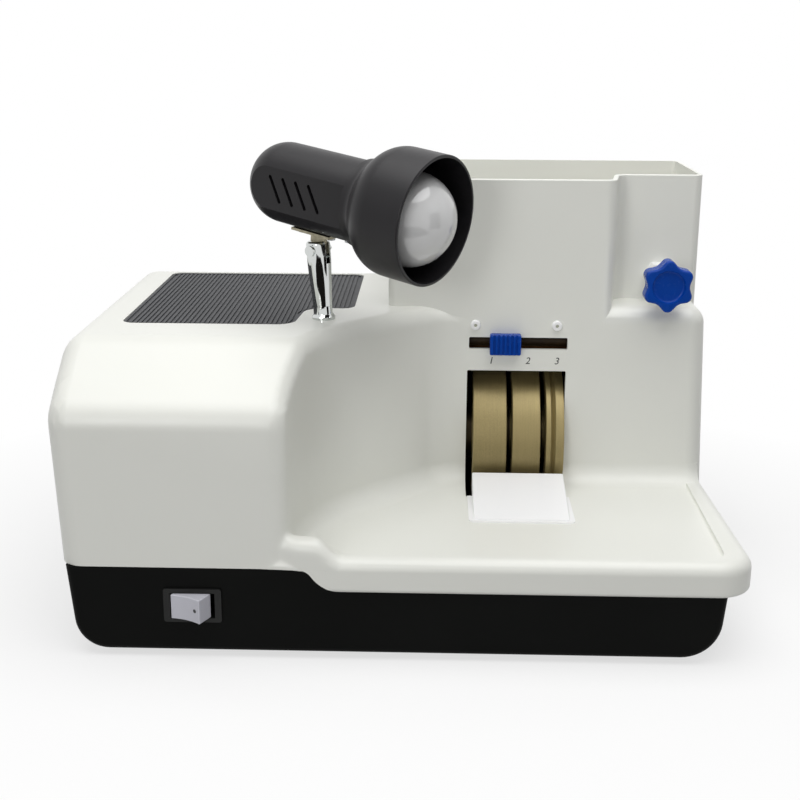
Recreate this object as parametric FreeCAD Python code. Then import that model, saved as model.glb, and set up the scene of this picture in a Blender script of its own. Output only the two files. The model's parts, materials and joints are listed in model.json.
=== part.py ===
"""Hand edger for spectacle lenses: a bench-top wet grinder with tank, lamp and parts tray.

Millimetres. X runs to the right as the operator sees it, Y away from the operator and Z up.
The origin is on the bench, under the middle of the machine's outline.
"""
import FreeCAD
import Part
import math
import os

V = FreeCAD.Vector

# Overall size and the levels of the housing
table_width = 272.0          # motor box's side to the table's right edge
wall_to_back = 129.0         # recessed wall to the tank's back
rocker_reach = 8.3           # switch rocker stands ahead of the table's lip
foot_height = 4.0
seam_high = 57.0             # parting line under the motor box
seam_low = 44.0              # parting line under the table
seam_gap = 0.4
table_top = 62.0
box_top = 183.0
tank_top = 266.5
overrun = 1.0                # how far a cutter runs past the face it opens
seat_gap = 0.3               # two separate mouldings that seat on each other
fit_gap = 0.05               # radial clearance of a shaft in its bore

# Upper cover: one moulding with motor box, recessed wall, table and tank
cover_wall = 3.0
box_width = 138.0
box_draft = 4.2              # left wall leans in by this much down to the parting line
right_draft = 5.0            # right wall leans in by this much up to the top
draft_start = 28.0           # below the box's top
lip_lead = 2.5               # table lip stands ahead of the motor box
wall_setback = 144.5         # recessed wall behind the motor box's front
slope_drop = 32.5            # sloping front panel, measured down from the top
slope_run = 49.5             # and back from the front
slope_low_round = 20.0
slope_high_round = 26.0
back_round = 14.0
left_round = 14.0            # soft edges round the left wall
edge_round = 11.0            # soft edges round the recess, the wall and the right side
recess_cut = 89.0            # recess's slanting wall takes this much off its corner
recess_side_radius = 128.0   # hollow turn from the box's side into the slant
recess_wall_radius = 38.0    # and from the slant into the wall
table_reach = 5.0            # table stands out to the right of the right wall
corner_radius = 12.0         # right-hand corner of the wall
table_round = 7.5
table_under_round = 2.5
table_corner = 22.0
lip_shoulder = 40.0          # run of the lip's slanting left end
lip_shoulder_in = 17.0       # left end starts this far inside the box
lip_shoulder_back = 2.5      # and this far behind the lip
lip_shoulder_round = 24.0
cove_radius = 14.0           # hollow blend between table and wall
rim_height = 2.5             # raised rim that keeps water on the table
rim_front = 11.0             # its width along the lip
rim_side = 17.0              # along the right edge
rim_left = 14.0              # and along the motor box's side
rim_slant = 17.0             # corner between the left and the front rim
rim_slant_back = 25.0
rim_round = 12.0
rim_floor_round = 2.0
seam_rise_left = 3.3         # parting line starts to fall left of the box's side
seam_fall_run = 38.0
seam_fall_high_round = 8.5
seam_fall_low_round = 22.0

# Tank
tank_wall = 2.6
tank_left_offset = 52.9      # tank's left wall from the motor box's side
tank_step_inset = 68.0       # front steps back this far from the right wall
tank_step_run = 6.0
tank_step_depth = 34.0
tank_right_inset = 6.2       # from the housing's right wall
tank_corner = 6.0
tank_step_round = 8.0
tank_overlap = 16.0          # tank's wall reaches down behind the soft edge of the wall
tank_rim_round = 0.8

# Base tub
tub_wall = 3.0
tub_left_inset = 7.6
tub_right_inset = 15.0
tub_back_inset = 3.75
tub_draft = 5.0
tub_left_corner = 20.0       # bottom corners seen from the front
tub_right_corner = 24.0
tub_edge = 4.0               # soft edges round the front and back faces

# Rubber feet and their screws
foot_radius = 10.0
foot_taper = 1.5
foot_inset_x = 42.0
foot_inset_y = 34.0
foot_recess_radius = 5.0
foot_recess_depth = 2.2
foot_screw_radius = 2.0
foot_screw_head_radius = 3.8
foot_screw_head = 1.6
foot_boss_radius = 5.0
foot_boss_height = 6.0

# Cover screws and bosses
boss_radius = 5.0
boss_inset = 8.6
cover_screw_radius = 2.0
cover_screw_head_radius = 4.0
cover_screw_head = 2.2
cover_screw_bite = 9.0       # how far the screw runs up in the cover's boss
cover_boss_rise = 14.0       # height of the cover's boss above the parting line

# Tray with ribbed mat
tray_left_inset = 27.0
tray_right_inset = -31.0     # tray reaches past the box's side, behind the recess
tray_front_inset = 87.0      # from the motor box's front
tray_back_inset = 16.0
tray_notch_right = 4.0       # notch round the lamp post, from the box's side
tray_notch_depth = 49.0
tray_notch_slant = 4.0
tray_corner = 8.0
tray_notch_outer_round = 12.0
tray_notch_inner_round = 14.0
tray_depth = 2.8
tray_floor = 2.4
mat_side_gap = 0.3
mat_base = 1.5
mat_rib_height = 0.8
mat_rib_pitch = 3.0
mat_rib_width = 1.5
mat_border = 3.2

# Spindle and wheels
spindle_rise = 24.5          # axis above the table
wheel_radius = 50.0
wheel_reach = 14.0           # wheels stand out of the recessed wall
wheels_offset = 110.0        # first wheel from the motor box's side
rough_width = 22.5
fine_width = 18.7
bevel_width = 12.0
wheel_spacing = 3.8
wheel_rim = 11.0
wheel_hub_radius = 19.0
wheel_web_inset = 3.0        # web lies this far inside each side face
wheel_edge_round = 0.5
groove_share = 0.40          # V groove's place across the bevel wheel
groove_width = 3.4
groove_depth = 2.2
shaft_wheel_radius = 7.0
shaft_bearing_radius = 7.5
shaft_rotor_radius = 8.0
shaft_rear_radius = 6.0
shaft_thread_radius = 6.0
shaft_thread_length = 12.0
inner_flange_length = 4.5
inner_flange_radius = 18.0
clamp_flange_length = 4.0
spacer_radius = 17.0
nut_across = 20.0
nut_length = 8.0
slinger_radius = 12.0
slinger_length = 1.6

# Motor
motor_radius = 44.0
motor_shell_wall = 3.0
motor_shell_length = 84.0
motor_bell_length = 13.0
motor_to_wheels = 71.0       # motor shell's right end to the wheels' left end
bell_round = 9.0
bell_wall = 4.0
snout_radius = 21.5
snout_end_gap = 17.0         # snout's end to the wheels' left end
snout_bore_gap = 1.5
stator_length = 60.0
stator_gap = 0.1
air_gap = 0.3
stator_ring = 16.6           # core, outside to bore
winding_length = 9.0
winding_inset = 4.0
winding_radial = 18.0
winding_round = 3.0
front_bearing_radius = 17.5
front_bearing_length = 11.0
front_bearing_inset = 3.0    # behind the snout's end
rear_bearing_radius = 16.0
rear_bearing_length = 10.0
inner_ring_wall = 3.4
fan_inset = 8.0              # fan's edge inside the motor's outside
fan_hub_radius = 10.0
fan_length = 13.0
fan_gap = 4.0                # fan stands off the rear end bell
fan_blade = 1.6
fan_blades = 8
fan_plate = 1.6
tie_rod_radius = 2.0
tie_rod_inset = 8.5          # rods' circle inside the motor's outside
tie_rod_head_radius = 3.6
tie_rod_head = 2.6
cradle_plate = 4.0
cradle_inset = 5.0           # cradle's sides inside the motor's
cradle_end_inset = 12.0
cradle_saddle = 6.0
cradle_saddle_rise_share = 0.55   # of the way from plate to spindle height
cradle_gap = 0.2
cradle_boss_radius = 6.0
cradle_boss_height = 5.0
cradle_bolt_radius = 2.5
cradle_bolt_head_radius = 4.6
cradle_bolt_head = 3.0
cradle_bolt_inset = 7.0

# Splash chamber round the wheels
chamber_wall = 2.0
chamber_left_gap = 11.0      # chamber's inner left face to the wheels
chamber_right_gap = 17.2
chamber_front_reach = 32.0   # trough reaches this far ahead of the recessed wall
chamber_floor_gap = 9.0      # under the wheels
chamber_floor_fall = 3.0
chamber_back_gap = 8.0
chamber_top_gap = 1.2
chamber_corner = 5.0
chamber_chamfer = 6.3        # top front corner, clear of the cover's soft edge
chamber_leg_radius = 5.0
chamber_leg_inset = 12.0
seal_radius = 14.0
seal_flange_radius = 17.0
seal_flange = 1.5
seal_length = 5.0
spigot_radius = 6.0
spigot_bore = 4.4
spigot_tube_radius = 6.6
spigot_collar_radius = 8.0
spigot_rise = 28.7           # above the tub's floor
spigot_reach = 12.0          # behind the tank's back wall

# Wheel window, table opening and nozzle slot
window_margin_left = 4.4
window_margin_right = 0.5
window_drop = 43.0           # window's top edge under the housing's top
window_table_reach = 31.0
window_round = 1.0
slot_drop = 20.3             # slot's top edge under the housing's top
slot_height = 8.0
slot_margin_left = -0.9
slot_margin_right = -0.4

# Lens rest
rest_reach = 74.9            # ramp's foot ahead of the recessed wall
rest_gap = 19.0              # ramp's top edge ahead of the recessed wall
rest_lip = 1.2
rest_rise = 13.5
rest_side_gap = 0.3          # beyond the window's left margin, from the wheels' left end
rest_right_inset = 0.7
rest_sheet = 1.6
rest_flange = 0.8
rest_flange_reach = 3.2
rest_flange_round = 4.0
rest_round = 2.0
rest_peg_radius = 2.0
rest_peg_length = 5.0
rest_peg_setback = 14.0

# Slider, nozzle carriage and water rail
cap_width = 20.5
cap_height = 13.6
cap_depth = 6.6
cap_rest_share = 0.367       # slider's rest place along the slot
cap_rib_count = 6
cap_rib_groove = 1.5
cap_rib_depth = 1.2
cap_round = 1.0
stem_width = 12.0
stem_gap = 0.35
rail_radius = 4.0
rail_bore = 2.5
rail_setback = 10.5          # behind the recessed wall's face
rail_slot = 1.2
rail_end_reach = 5.0         # past the chamber's right wall
carriage_width = 16.0
carriage_height = 14.5
carriage_depth = 11.5
nozzle_radius = 3.6
nozzle_tip_radius = 2.2
nozzle_bore = 1.2
nozzle_length = 7.5
bracket_bar = 3.6
bracket_bar_height = 6.0
bracket_ear = 3.0
bracket_inset = 2.0          # ear from the chamber's side wall
guide_screw_radius = 1.9
guide_screw_head_radius = 3.4
guide_screw_head = 2.2
guide_screw_dimple_radius = 1.1
guide_screw_dimple = 1.0
guide_screw_drop = 12.0      # under the housing's top
guide_screw_inset_left = 1.0
guide_screw_inset_right = 7.0
hood_gap = 4.0
hood_sheet = 1.5
hood_setback = 18.5
hood_top_gap = 0.3
hood_front_angle = 71.0

# Tap: knob, stem, gland nut and body
tap_inset = 33.2             # from the housing's right wall
tap_rise = 17.0              # above the housing's top
knob_lead = 13.2             # knob's face ahead of the recessed wall
knob_length = 13.0
knob_tip_radius = 19.1
knob_valley_radius = 13.2
knob_tip_round = 4.2
knob_valley_round = 7.5
knob_lobes = 6
knob_edge = 1.6
knob_dish_radius = 11.0
knob_dish_depth = 2.0
knob_dish_round = 1.6
knob_neck_radius = 7.5
knob_neck = 5.0
tap_stem_radius = 4.0
tap_stem_flat = 3.0
gland_across = 16.0
gland_length = 12.0
tap_body_width = 24.0
tap_body_depth = 27.0
tap_body_height = 26.0
tap_body_round = 3.0
tap_port_radius = 4.0
tap_plug_length = 12.0
tap_outlet_radius = 5.0
tap_outlet_drop = 14.0
tap_outlet_setback = 14.0
hose_radius = 4.6
hose_bore = 2.6
hose_bend = 24.0
hose_share = 0.45            # of the shorter run, taken up by each bend

# Lamp post
post_offset = 13.5           # from the motor box's side
post_setback = 105.5         # behind the motor box's front
post_lean = 3.6              # degrees, to the left
post_foot_radius = 7.3
post_neck_radius = 5.8
post_head_radius = 7.2
post_foot_height = 8.5
post_flare_start = 18.0
post_flare_end = 31.0
post_height = 49.5
post_head_round = 1.8
post_foot_band = 3.0
post_spigot_radius = 3.5
post_spigot_length = 6.5
post_shank_radius = 5.0
post_shank_length = 10.0
post_nut_across = 15.0
post_nut_length = 5.0
post_slot_width = 3.4
post_slot_depth = 14.0
post_pivot_drop = 5.5        # pivot screw under the post's top
pivot_radius = 2.0
pivot_head_radius = 3.4
pivot_head = 1.8

# Lamp head, laid out along its own axis and then turned and tilted into place
lamp_heading = -34.9         # degrees from +X, seen from above
lamp_tilt = 10.3              # degrees, front end down
lamp_rise = 36.5             # lamp axis above the pivot
barrel_radius = 24.9
barrel_wall = 2.0
barrel_front = 37.5          # all along the axis, from the pivot
barrel_rear = 49.7
barrel_dome = 23.0
barrel_flat = 21.2           # flat side panels lie this far from the axis
barrel_flat_front = 35.0
vent_width = 2.2
vent_length = 18.4
vent_angle = 60.0
vent_pitch = 10.1
vent_first = 19.9
vent_count = 4
shade_neck_length = 3.0
shade_neck_round = 8.0       # hollow blend where the bowl leaves the neck
shade_bowl_start = 40.5      # the bowl's straight flank would meet the neck here
shade_bowl_round = 20.0
shade_radius = 38.7
shade_front = 85.8
shade_wall = 1.8
shade_rim_round = 0.8
bulb_radius = 28.5
bulb_centre = 66.3
bulb_drop = 2.5              # socket and bulb sit this far under the barrel's axis
bulb_neck = 31.0             # where the glass meets the cap
bulb_shoulder_angle = 48.0
bulb_neck_hollow = 1.0       # inward bow of the neck's taper
bulb_wall = 1.0
bulb_cap_taper = 2.0
bulb_cap_radius = 13.0
bulb_cap_length = 26.0
socket_radius = 18.0
socket_rear = 6.0
socket_front = 28.0
socket_wall = 3.4
socket_flange = 3.0
plate_rear = 17.0
plate_front = 13.0
plate_width = 14.0
plate_sheet = 1.6
plate_gap = 0.1
tongue_width = 11.0
tongue_sheet = 3.0
lamp_screw_radius = 1.6
lamp_screw_head_radius = 3.0
lamp_screw_head = 1.6
lamp_screw_inset = 4.0
shade_screw_place = 24.0

# Rocker switch
switch_offset = 82.0         # from the motor box's left
switch_height = 34.1
bezel_width = 34.0
bezel_height = 21.0
bezel_flange = 1.5
bezel_round = 1.5
switch_body_width = 30.0
switch_body_height = 18.6
switch_body_depth = 24.0
switch_wall = 1.4
rocker_opening = 26.2
rocker_width = 19.8
rocker_flare = 0.4           # each end widens by this much towards the back
rocker_height = 15.0
rocker_face = 8.6            # ends of the hollow face, from the pivot
rocker_hollow = 1.6
rocker_rest = -24.0          # degrees, right end out
rocker_pivot_depth = 0.7     # behind the tub's front face
rocker_back = 2.8
rocker_pin_radius = 1.2
rocker_side_gap = 0.35
rocker_edge = 0.6

# Power inlet, capacitor and terminal block
inlet_offset = 55.0          # from the motor box's left
inlet_centre_height = 28.0
inlet_width = 31.0
inlet_height = 24.0
inlet_flange = 1.8
inlet_body_width = 27.0
inlet_body_height = 20.0
inlet_depth = 20.0
inlet_wall = 1.6
inlet_floor = 4.0
inlet_round = 3.0
inlet_pin_width = 4.0
inlet_pin_sheet = 2.0
inlet_pin_length = 11.0
inlet_pin_pitch = 7.0
inlet_pin_rise = 3.0
capacitor_radius = 16.0
capacitor_length = 58.0
capacitor_offset = 28.0      # from the tub's left
capacitor_setback = 185.5    # behind the motor box's front
capacitor_round = 2.0
clamp_sheet = 1.5
clamp_width = 14.0
clamp_ear = 9.0
terminal_offset = 39.0
terminal_setback = 90.5
terminal_width = 18.0
terminal_length = 46.0
terminal_height = 14.0
terminal_step = 5.0
terminal_ports = 4
terminal_port_radius = 2.0

# Places worked out from the sizes above
width = box_width + table_width
depth = rocker_reach + lip_lead + wall_setback + wall_to_back + spigot_reach
half_width = width / 2
lip_front = -depth / 2 + rocker_reach
back = depth / 2 - spigot_reach
box_left = -half_width
box_front = lip_front + lip_lead
box_side = box_left + box_width
wall_front = box_front + wall_setback
wall_inner = wall_front + cover_wall
body_right = half_width - table_reach
ceiling = box_top - cover_wall
table_under = table_top - cover_wall
tub_left = box_left + tub_left_inset
tub_right = half_width - tub_right_inset
tub_front = box_front
tub_back = back - tub_back_inset
tub_floor = foot_height + tub_wall
tank_left = box_side + tank_left_offset
tank_step = body_right - tank_step_inset
tank_right = body_right - tank_right_inset
tank_back_front = wall_front + tank_step_depth
tray_front = box_front + tray_front_inset
tray_back = back - tray_back_inset
spindle_y = wall_front + wheel_radius - wheel_reach
spindle_z = table_top + spindle_rise
wheels_left = box_side + wheels_offset
wheels_right = wheels_left + rough_width + fine_width + bevel_width + wheel_spacing * 2
fine_left = wheels_left + rough_width + wheel_spacing
bevel_left = fine_left + fine_width + wheel_spacing
chamber_left = wheels_left - chamber_left_gap
chamber_right = wheels_right + chamber_right_gap
window_left = wheels_left - window_margin_left
window_right = wheels_right + window_margin_right
window_top = box_top - window_drop
slot_high = box_top - slot_drop
slot_low = slot_high - slot_height
slot_left = window_left - slot_margin_left
slot_right = window_right - slot_margin_right
slot_centre = (slot_low + slot_high) / 2
stator_radius = motor_radius - motor_shell_wall - stator_gap
rotor_radius = stator_radius - stator_ring - air_gap
tie_rod_circle = motor_radius - tie_rod_inset
fan_radius = motor_radius - fan_inset
cradle_width = (motor_radius - cradle_inset) * 2
motor_right = wheels_left - motor_to_wheels
motor_left = motor_right - motor_shell_length
bell_right = motor_right + motor_bell_length
bell_left = motor_left - motor_bell_length
snout_end = wheels_left - snout_end_gap
chamber_floor = spindle_z - wheel_radius - chamber_floor_gap
chamber_top = ceiling - chamber_top_gap
chamber_back = spindle_y + wheel_radius + chamber_back_gap
chamber_front = wall_front - chamber_front_reach
rest_front = wall_front - rest_reach
rest_back = wall_front - rest_gap
rest_low = table_top + rest_lip
rest_high = table_top + rest_rise
cap_x = slot_left + (slot_right - slot_left) * cap_rest_share
rail_y = wall_front + rail_setback
rail_z = slot_centre
guide_screw_height = box_top - guide_screw_drop
bracket_low = guide_screw_height - bracket_bar_height / 2
bracket_high = guide_screw_height + bracket_bar_height / 2
spigot_height = tub_floor + spigot_rise
tap_x = body_right - tap_inset
tap_z = box_top + tap_rise
knob_front = wall_front - knob_lead
post_x = box_side + post_offset
post_y = box_front + post_setback
switch_x = box_left + switch_offset
switch_z = switch_height
inlet_x = box_left + inlet_offset
inlet_z = inlet_centre_height
capacitor_x = tub_left + capacitor_offset
capacitor_y = box_front + capacitor_setback
terminal_x = tub_left + terminal_offset
terminal_y = box_front + terminal_setback
post_foot = V(post_x, post_y, box_top)
post_axis = V(-math.sin(math.radians(post_lean)), 0, math.cos(math.radians(post_lean)))
pivot_point = post_foot + post_axis * (post_height - post_pivot_drop)


def on_xy(a, b, level=0):
    return V(a, b, level)


def on_yz(a, b, level=0):
    return V(level, a, b)


def on_xz(a, b, level=0):
    return V(a, level, b)


def corner_points(before, corner, after, radius):
    """Start, middle and end of the arc that rounds a corner."""
    to_before = (before - corner).normalize()
    to_after = (after - corner).normalize()
    half_angle = to_before.getAngle(to_after) / 2
    reach = radius / math.tan(half_angle)
    bisector = (to_before + to_after).normalize()
    centre = corner + bisector * (radius / math.sin(half_angle))
    return corner + to_before * reach, centre - bisector * radius, corner + to_after * reach


def closed_wire(corners, plane, level=0):
    """A closed wire through corners (a, b, radius) in a plane, each rounded by its radius."""
    points = [plane(a, b, level) for a, b, radius in corners]
    stretches = []
    for number, (a, b, radius) in enumerate(corners):
        corner = points[number]
        if radius == 0:
            stretches.append((corner, corner, corner))
            continue
        after = points[(number + 1) % len(points)]
        stretches.append(corner_points(points[number - 1], corner, after, radius))
    edges = []
    for number, (start, middle, end) in enumerate(stretches):
        previous_end = stretches[number - 1][2]
        if (start - previous_end).Length > fit_gap / 100:
            edges.append(Part.LineSegment(previous_end, start).toShape())
        if (start - end).Length > 0:
            edges.append(Part.Arc(start, middle, end).toShape())
    return Part.Wire(edges)


def prism(corners, plane, low, high):
    """A prism on rounded corners, from one level to another along the plane's normal."""
    face = Part.Face(closed_wire(corners, plane, low))
    return face.extrude(plane(0, 0, high) - plane(0, 0, low))


def block(x0, x1, y0, y1, z0, z1):
    return Part.makeBox(x1 - x0, y1 - y0, z1 - z0, V(x0, y0, z0))


def rounded_block_y(x0, x1, z0, z1, radius, y0, y1):
    """A block with rounded edges along Y."""
    corners = [(x0, z0, radius), (x1, z0, radius), (x1, z1, radius), (x0, z1, radius)]
    return prism(corners, on_xz, y0, y1)


def rod_x(radius, x0, x1, y, z):
    return Part.makeCylinder(radius, x1 - x0, V(x0, y, z), V(1, 0, 0))


def rod_y(radius, y0, y1, x, z):
    return Part.makeCylinder(radius, y1 - y0, V(x, y0, z), V(0, 1, 0))


def rod_z(radius, z0, z1, x, y):
    return Part.makeCylinder(radius, z1 - z0, V(x, y, z0), V(0, 0, 1))


def ring_x(outer, inner, x0, x1, y, z):
    return rod_x(outer, x0, x1, y, z).cut(rod_x(inner, x0 - overrun, x1 + overrun, y, z))


def turned_x(corners, y, z):
    """A body of revolution about a line along X; corners are (x, radius, rounding)."""
    wire = closed_wire([(x, r + z, rounding) for x, r, rounding in corners], on_xz, y)
    return Part.Face(wire).revolve(V(0, y, z), V(1, 0, 0), 360)


def turned_y(corners, x, z):
    """A body of revolution about a line along Y; corners are (y, radius, rounding)."""
    wire = closed_wire([(y, r + z, rounding) for y, r, rounding in corners], on_yz, x)
    return Part.Face(wire).revolve(V(x, 0, z), V(0, 1, 0), 360)


def turned_z(corners, x, y):
    """A body of revolution about a line along Z; corners are (z, radius, rounding)."""
    wire = closed_wire([(r + x, z, rounding) for z, r, rounding in corners], on_xz, y)
    return Part.Face(wire).revolve(V(x, y, 0), V(0, 0, 1), 360)


def hexagon(across, plane, u, v):
    """Corners of a hexagon round (u, v), a flat side down."""
    radius = across / math.sqrt(3)
    corners = []
    for side in range(6):
        angle = math.radians(60 * side)
        corners.append((u + radius * math.cos(angle), v + radius * math.sin(angle), 0))
    return corners


def joined(shapes):
    """One solid from shapes that overlap or touch."""
    whole = shapes[0].multiFuse(shapes[1:])
    return whole.removeSplitter()


def rounded_edges(shape, radius, wanted):
    """Fillets the edges that the test picks."""
    edges = [edge for edge in shape.Edges if wanted(edge)]
    return shape.makeFillet(radius, edges)


def lies_at(edge, axis, value):
    """True where the whole edge has one coordinate at a value."""
    box = edge.BoundBox
    low = (box.XMin, box.YMin, box.ZMin)[axis]
    high = (box.XMax, box.YMax, box.ZMax)[axis]
    return abs(low - value) < fit_gap and abs(high - value) < fit_gap


# Upper cover

def housing_form(inset, bottom):
    """Motor box, recessed wall and right side in one form, all faces moved in by inset."""
    left = box_left + inset
    front = box_front + inset
    side = box_side - inset
    wall = wall_front + inset
    right = body_right - inset
    rear = back - inset
    top = box_top - inset
    lowest = bottom
    shift = inset * math.tan(math.pi / 8) - inset
    plan = [
        (left - overrun, front, 0),
        (side, front, 0),
        (side, wall - recess_cut + shift, recess_side_radius + inset),
        (side + recess_cut - shift, wall, recess_wall_radius + inset),
        (right + overrun, wall, 0),
        (right + overrun, rear, 0),
        (left - overrun, rear, 0),
    ]
    side_view = [
        (front, lowest, 0),
        (front, box_top - slope_drop, slope_low_round - inset),
        (box_front + slope_run + inset / 2, top, slope_high_round - inset),
        (rear, top, back_round - inset),
        (rear, lowest, 0),
    ]
    draft_top = box_top - draft_start
    slant = box_draft / (draft_top - seam_high)
    foot_left = left + slant * (draft_top - lowest)
    lean = right_draft / (box_top - table_top)
    head_right = right - lean * (top + overrun - table_top)
    foot_right = right - lean * (lowest - table_top)
    front_view = [
        (foot_left, lowest, 0),
        (left, draft_top, 0),
        (left, top + overrun, 0),
        (head_right, top + overrun, 0),
        (foot_right, lowest, 0),
    ]
    form = prism(plan, on_xy, lowest, top)
    form = form.common(prism(side_view, on_yz, left - overrun * 2, right + overrun))
    return form.common(prism(front_view, on_xz, front - overrun, rear + overrun))


def soft_housing(inset, bottom):
    """The housing's form with its soft edges, in two long chains and one upright corner."""
    form = housing_form(inset, bottom)
    form = form.makeFillet(left_round - inset, left_wall_edges(form, inset, bottom))
    form = form.makeFillet(corner_radius - inset, wall_corner_edges(form))
    return form.makeFillet(edge_round - inset, soft_chain_edges(form, inset))


def left_wall_edges(form, inset, bottom):
    """The edges round the left wall, except its bottom and its draft line."""
    chosen = []
    limit = box_left + inset + box_draft * 2
    for edge in form.Edges:
        box = edge.BoundBox
        if box.XMax > limit or lies_at(edge, 2, bottom):
            continue
        below_top = box.ZMax < box_top - inset - fit_gap
        if box.YLength > depth / 2 and box.ZLength < fit_gap and below_top:
            continue
        chosen.append(edge)
    return chosen


def is_upright(edge):
    box = edge.BoundBox
    return box.ZLength > box.XLength + box.YLength


def on_right_wall(edge):
    return edge.BoundBox.XMin > body_right - right_draft * 2


def wall_corner_edges(form):
    """The upright edge where the recessed wall meets the right side."""
    return [edge for edge in form.Edges if is_upright(edge) and on_right_wall(edge)
            and edge.BoundBox.YMax < back / 2]


def soft_chain_edges(form, inset):
    """The box's right front edge, the top edge along recess and wall, and the right side."""
    chosen = []
    side = box_side - inset
    for edge in form.Edges:
        box = edge.BoundBox
        at_front = abs(box.XMax - side) < fit_gap and abs(box.YMax - box_front - inset) < fit_gap
        at_back = on_right_wall(edge) and box.YMin > back - back_round - inset - fit_gap
        on_top = lies_at(edge, 2, box_top - inset)
        along_wall = on_top and box.XMin > side - fit_gap and box.YMax < back / 2
        if is_upright(edge) and (at_front or at_back):
            chosen.append(edge)
        elif along_wall or (on_top and on_right_wall(edge)):
            chosen.append(edge)
    return chosen


def table_corners(inset, back_edge):
    """Plan of the table; its left end slants out of the motor box's front corner."""
    start_x = box_side - lip_shoulder_in
    start_y = lip_front + lip_shoulder_back
    slant = math.atan2(lip_shoulder_back, lip_shoulder)
    shift = inset / math.tan(math.pi / 2 - slant / 2)
    return [
        (start_x, back_edge, 0),
        (start_x, start_y + inset / math.cos(slant), 0),
        (start_x + lip_shoulder + shift, lip_front + inset, lip_shoulder_round),
        (half_width - inset, lip_front + inset, table_corner - inset),
        (body_right - inset, wall_front + corner_radius, 0),
        (body_right - inset, back_edge, 0),
    ]


def dish_corners(back_edge):
    """Plan of the table's sunk floor inside the rim."""
    left = box_side + rim_left
    near = lip_front + rim_front
    right = half_width - rim_side
    return [
        (left, back_edge, 0),
        (left, near + rim_slant_back, rim_round * 2),
        (left + rim_slant, near, rim_round),
        (right, near, table_corner / 2),
        (right, back_edge, 0),
    ]


def table_slab():
    """The table with its soft lip and raised rim."""
    behind = wall_front + corner_radius * 2
    rim_top = table_top + rim_height
    slab = prism(table_corners(0, behind), on_xy, seam_low, rim_top)
    inner_limit = wall_front + corner_radius + fit_gap

    def on_rim(edge):
        box = edge.BoundBox
        inside_box = box.XMax < box_side - lip_shoulder_in + fit_gap
        return box.YMax < inner_limit and not inside_box

    def at_top(edge):
        return lies_at(edge, 2, rim_top) and on_rim(edge)

    def at_bottom(edge):
        return lies_at(edge, 2, seam_low) and on_rim(edge)

    slab = rounded_edges(slab, table_round, at_top)
    slab = rounded_edges(slab, table_under_round, at_bottom)
    dish = prism(dish_corners(behind + overrun), on_xy, table_top, rim_top + overrun)
    dish = rounded_edges(dish, rim_floor_round, lambda edge: lies_at(edge, 2, table_top)
                         and edge.BoundBox.YMin < wall_front)
    return slab.cut(dish)


def cove_face(foot, out):
    """Face of the hollow blend: foot is on the wall line at table level, out points off the wall."""
    radius = cove_radius
    sunk = cover_wall / 2
    up = V(0, 0, 1)
    table_edge = foot + out * radius
    wall_edge = foot + up * radius
    diagonal = (out + up).normalize()
    middle = foot + (out + up) * radius - diagonal * radius
    below_table = table_edge - up * sunk
    behind = foot - out * sunk
    edges = [
        Part.Arc(table_edge, middle, wall_edge).toShape(),
        Part.LineSegment(wall_edge, behind + up * radius).toShape(),
        Part.LineSegment(behind + up * radius, behind - up * sunk).toShape(),
        Part.LineSegment(behind - up * sunk, below_table).toShape(),
        Part.LineSegment(below_table, table_edge).toShape(),
    ]
    return Part.Face(Part.Wire(edges))


def table_coves():
    """Hollow blends between the table and the box's side, the recess, the wall and its corner."""
    half_turn = math.tan(math.pi / 8)
    side_reach = recess_side_radius * half_turn
    wall_reach = recess_wall_radius * half_turn
    side_end = wall_front - recess_cut - side_reach
    wall_start = box_side + recess_cut + wall_reach
    corner_x = body_right - corner_radius
    slant_out = V(1, -1, 0).normalize()
    slant_run = V(1, 1, 0).normalize()
    slant_start = V(box_side, wall_front - recess_cut, table_top) + slant_run * side_reach
    slant_length = recess_cut * math.sqrt(2) - side_reach - wall_reach
    side = cove_face(V(box_side, lip_front, table_top), V(1, 0, 0))
    side = side.extrude(V(0, side_end - lip_front, 0))
    first_turn = cove_face(V(box_side, side_end, table_top), V(1, 0, 0))
    first_turn = first_turn.revolve(V(box_side + recess_side_radius, side_end, table_top),
                                    V(0, 0, 1), -45)
    slant = cove_face(slant_start, slant_out).extrude(slant_run * slant_length)
    second_turn = cove_face(slant_start + slant_run * slant_length, slant_out)
    second_turn = second_turn.revolve(V(wall_start, wall_front - recess_wall_radius, table_top),
                                      V(0, 0, 1), -45)
    wall = cove_face(V(wall_start, wall_front, table_top), V(0, -1, 0))
    wall = wall.extrude(V(corner_x - wall_start, 0, 0))
    corner = cove_face(V(corner_x, wall_front, table_top), V(0, -1, 0))
    corner = corner.revolve(V(corner_x, wall_front + corner_radius, table_top), V(0, 0, 1), 90)
    limits = prism(table_corners(table_round / 2, wall_front + corner_radius), on_xy,
                   table_under, table_top + cove_radius + overrun)
    return [piece.common(limits) for piece in (side, first_turn, slant, second_turn, wall, corner)]


def tank_corners(inset):
    """Plan of the tank, with the right end of its front stepped back."""
    radius = tank_corner - inset
    return [
        (tank_left + inset, wall_front + inset, radius),
        (tank_step - inset, wall_front + inset, tank_step_round - inset),
        (tank_step + tank_step_run - inset, tank_back_front + inset, tank_step_round + inset),
        (tank_right - inset, tank_back_front + inset, radius),
        (tank_right - inset, back - inset, radius),
        (tank_left + inset, back - inset, radius),
    ]


def tank_block():
    block_form = prism(tank_corners(0), on_xy, box_top - tank_overlap, tank_top)
    return rounded_edges(block_form, tank_rim_round, lambda edge: lies_at(edge, 2, tank_top))


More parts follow.
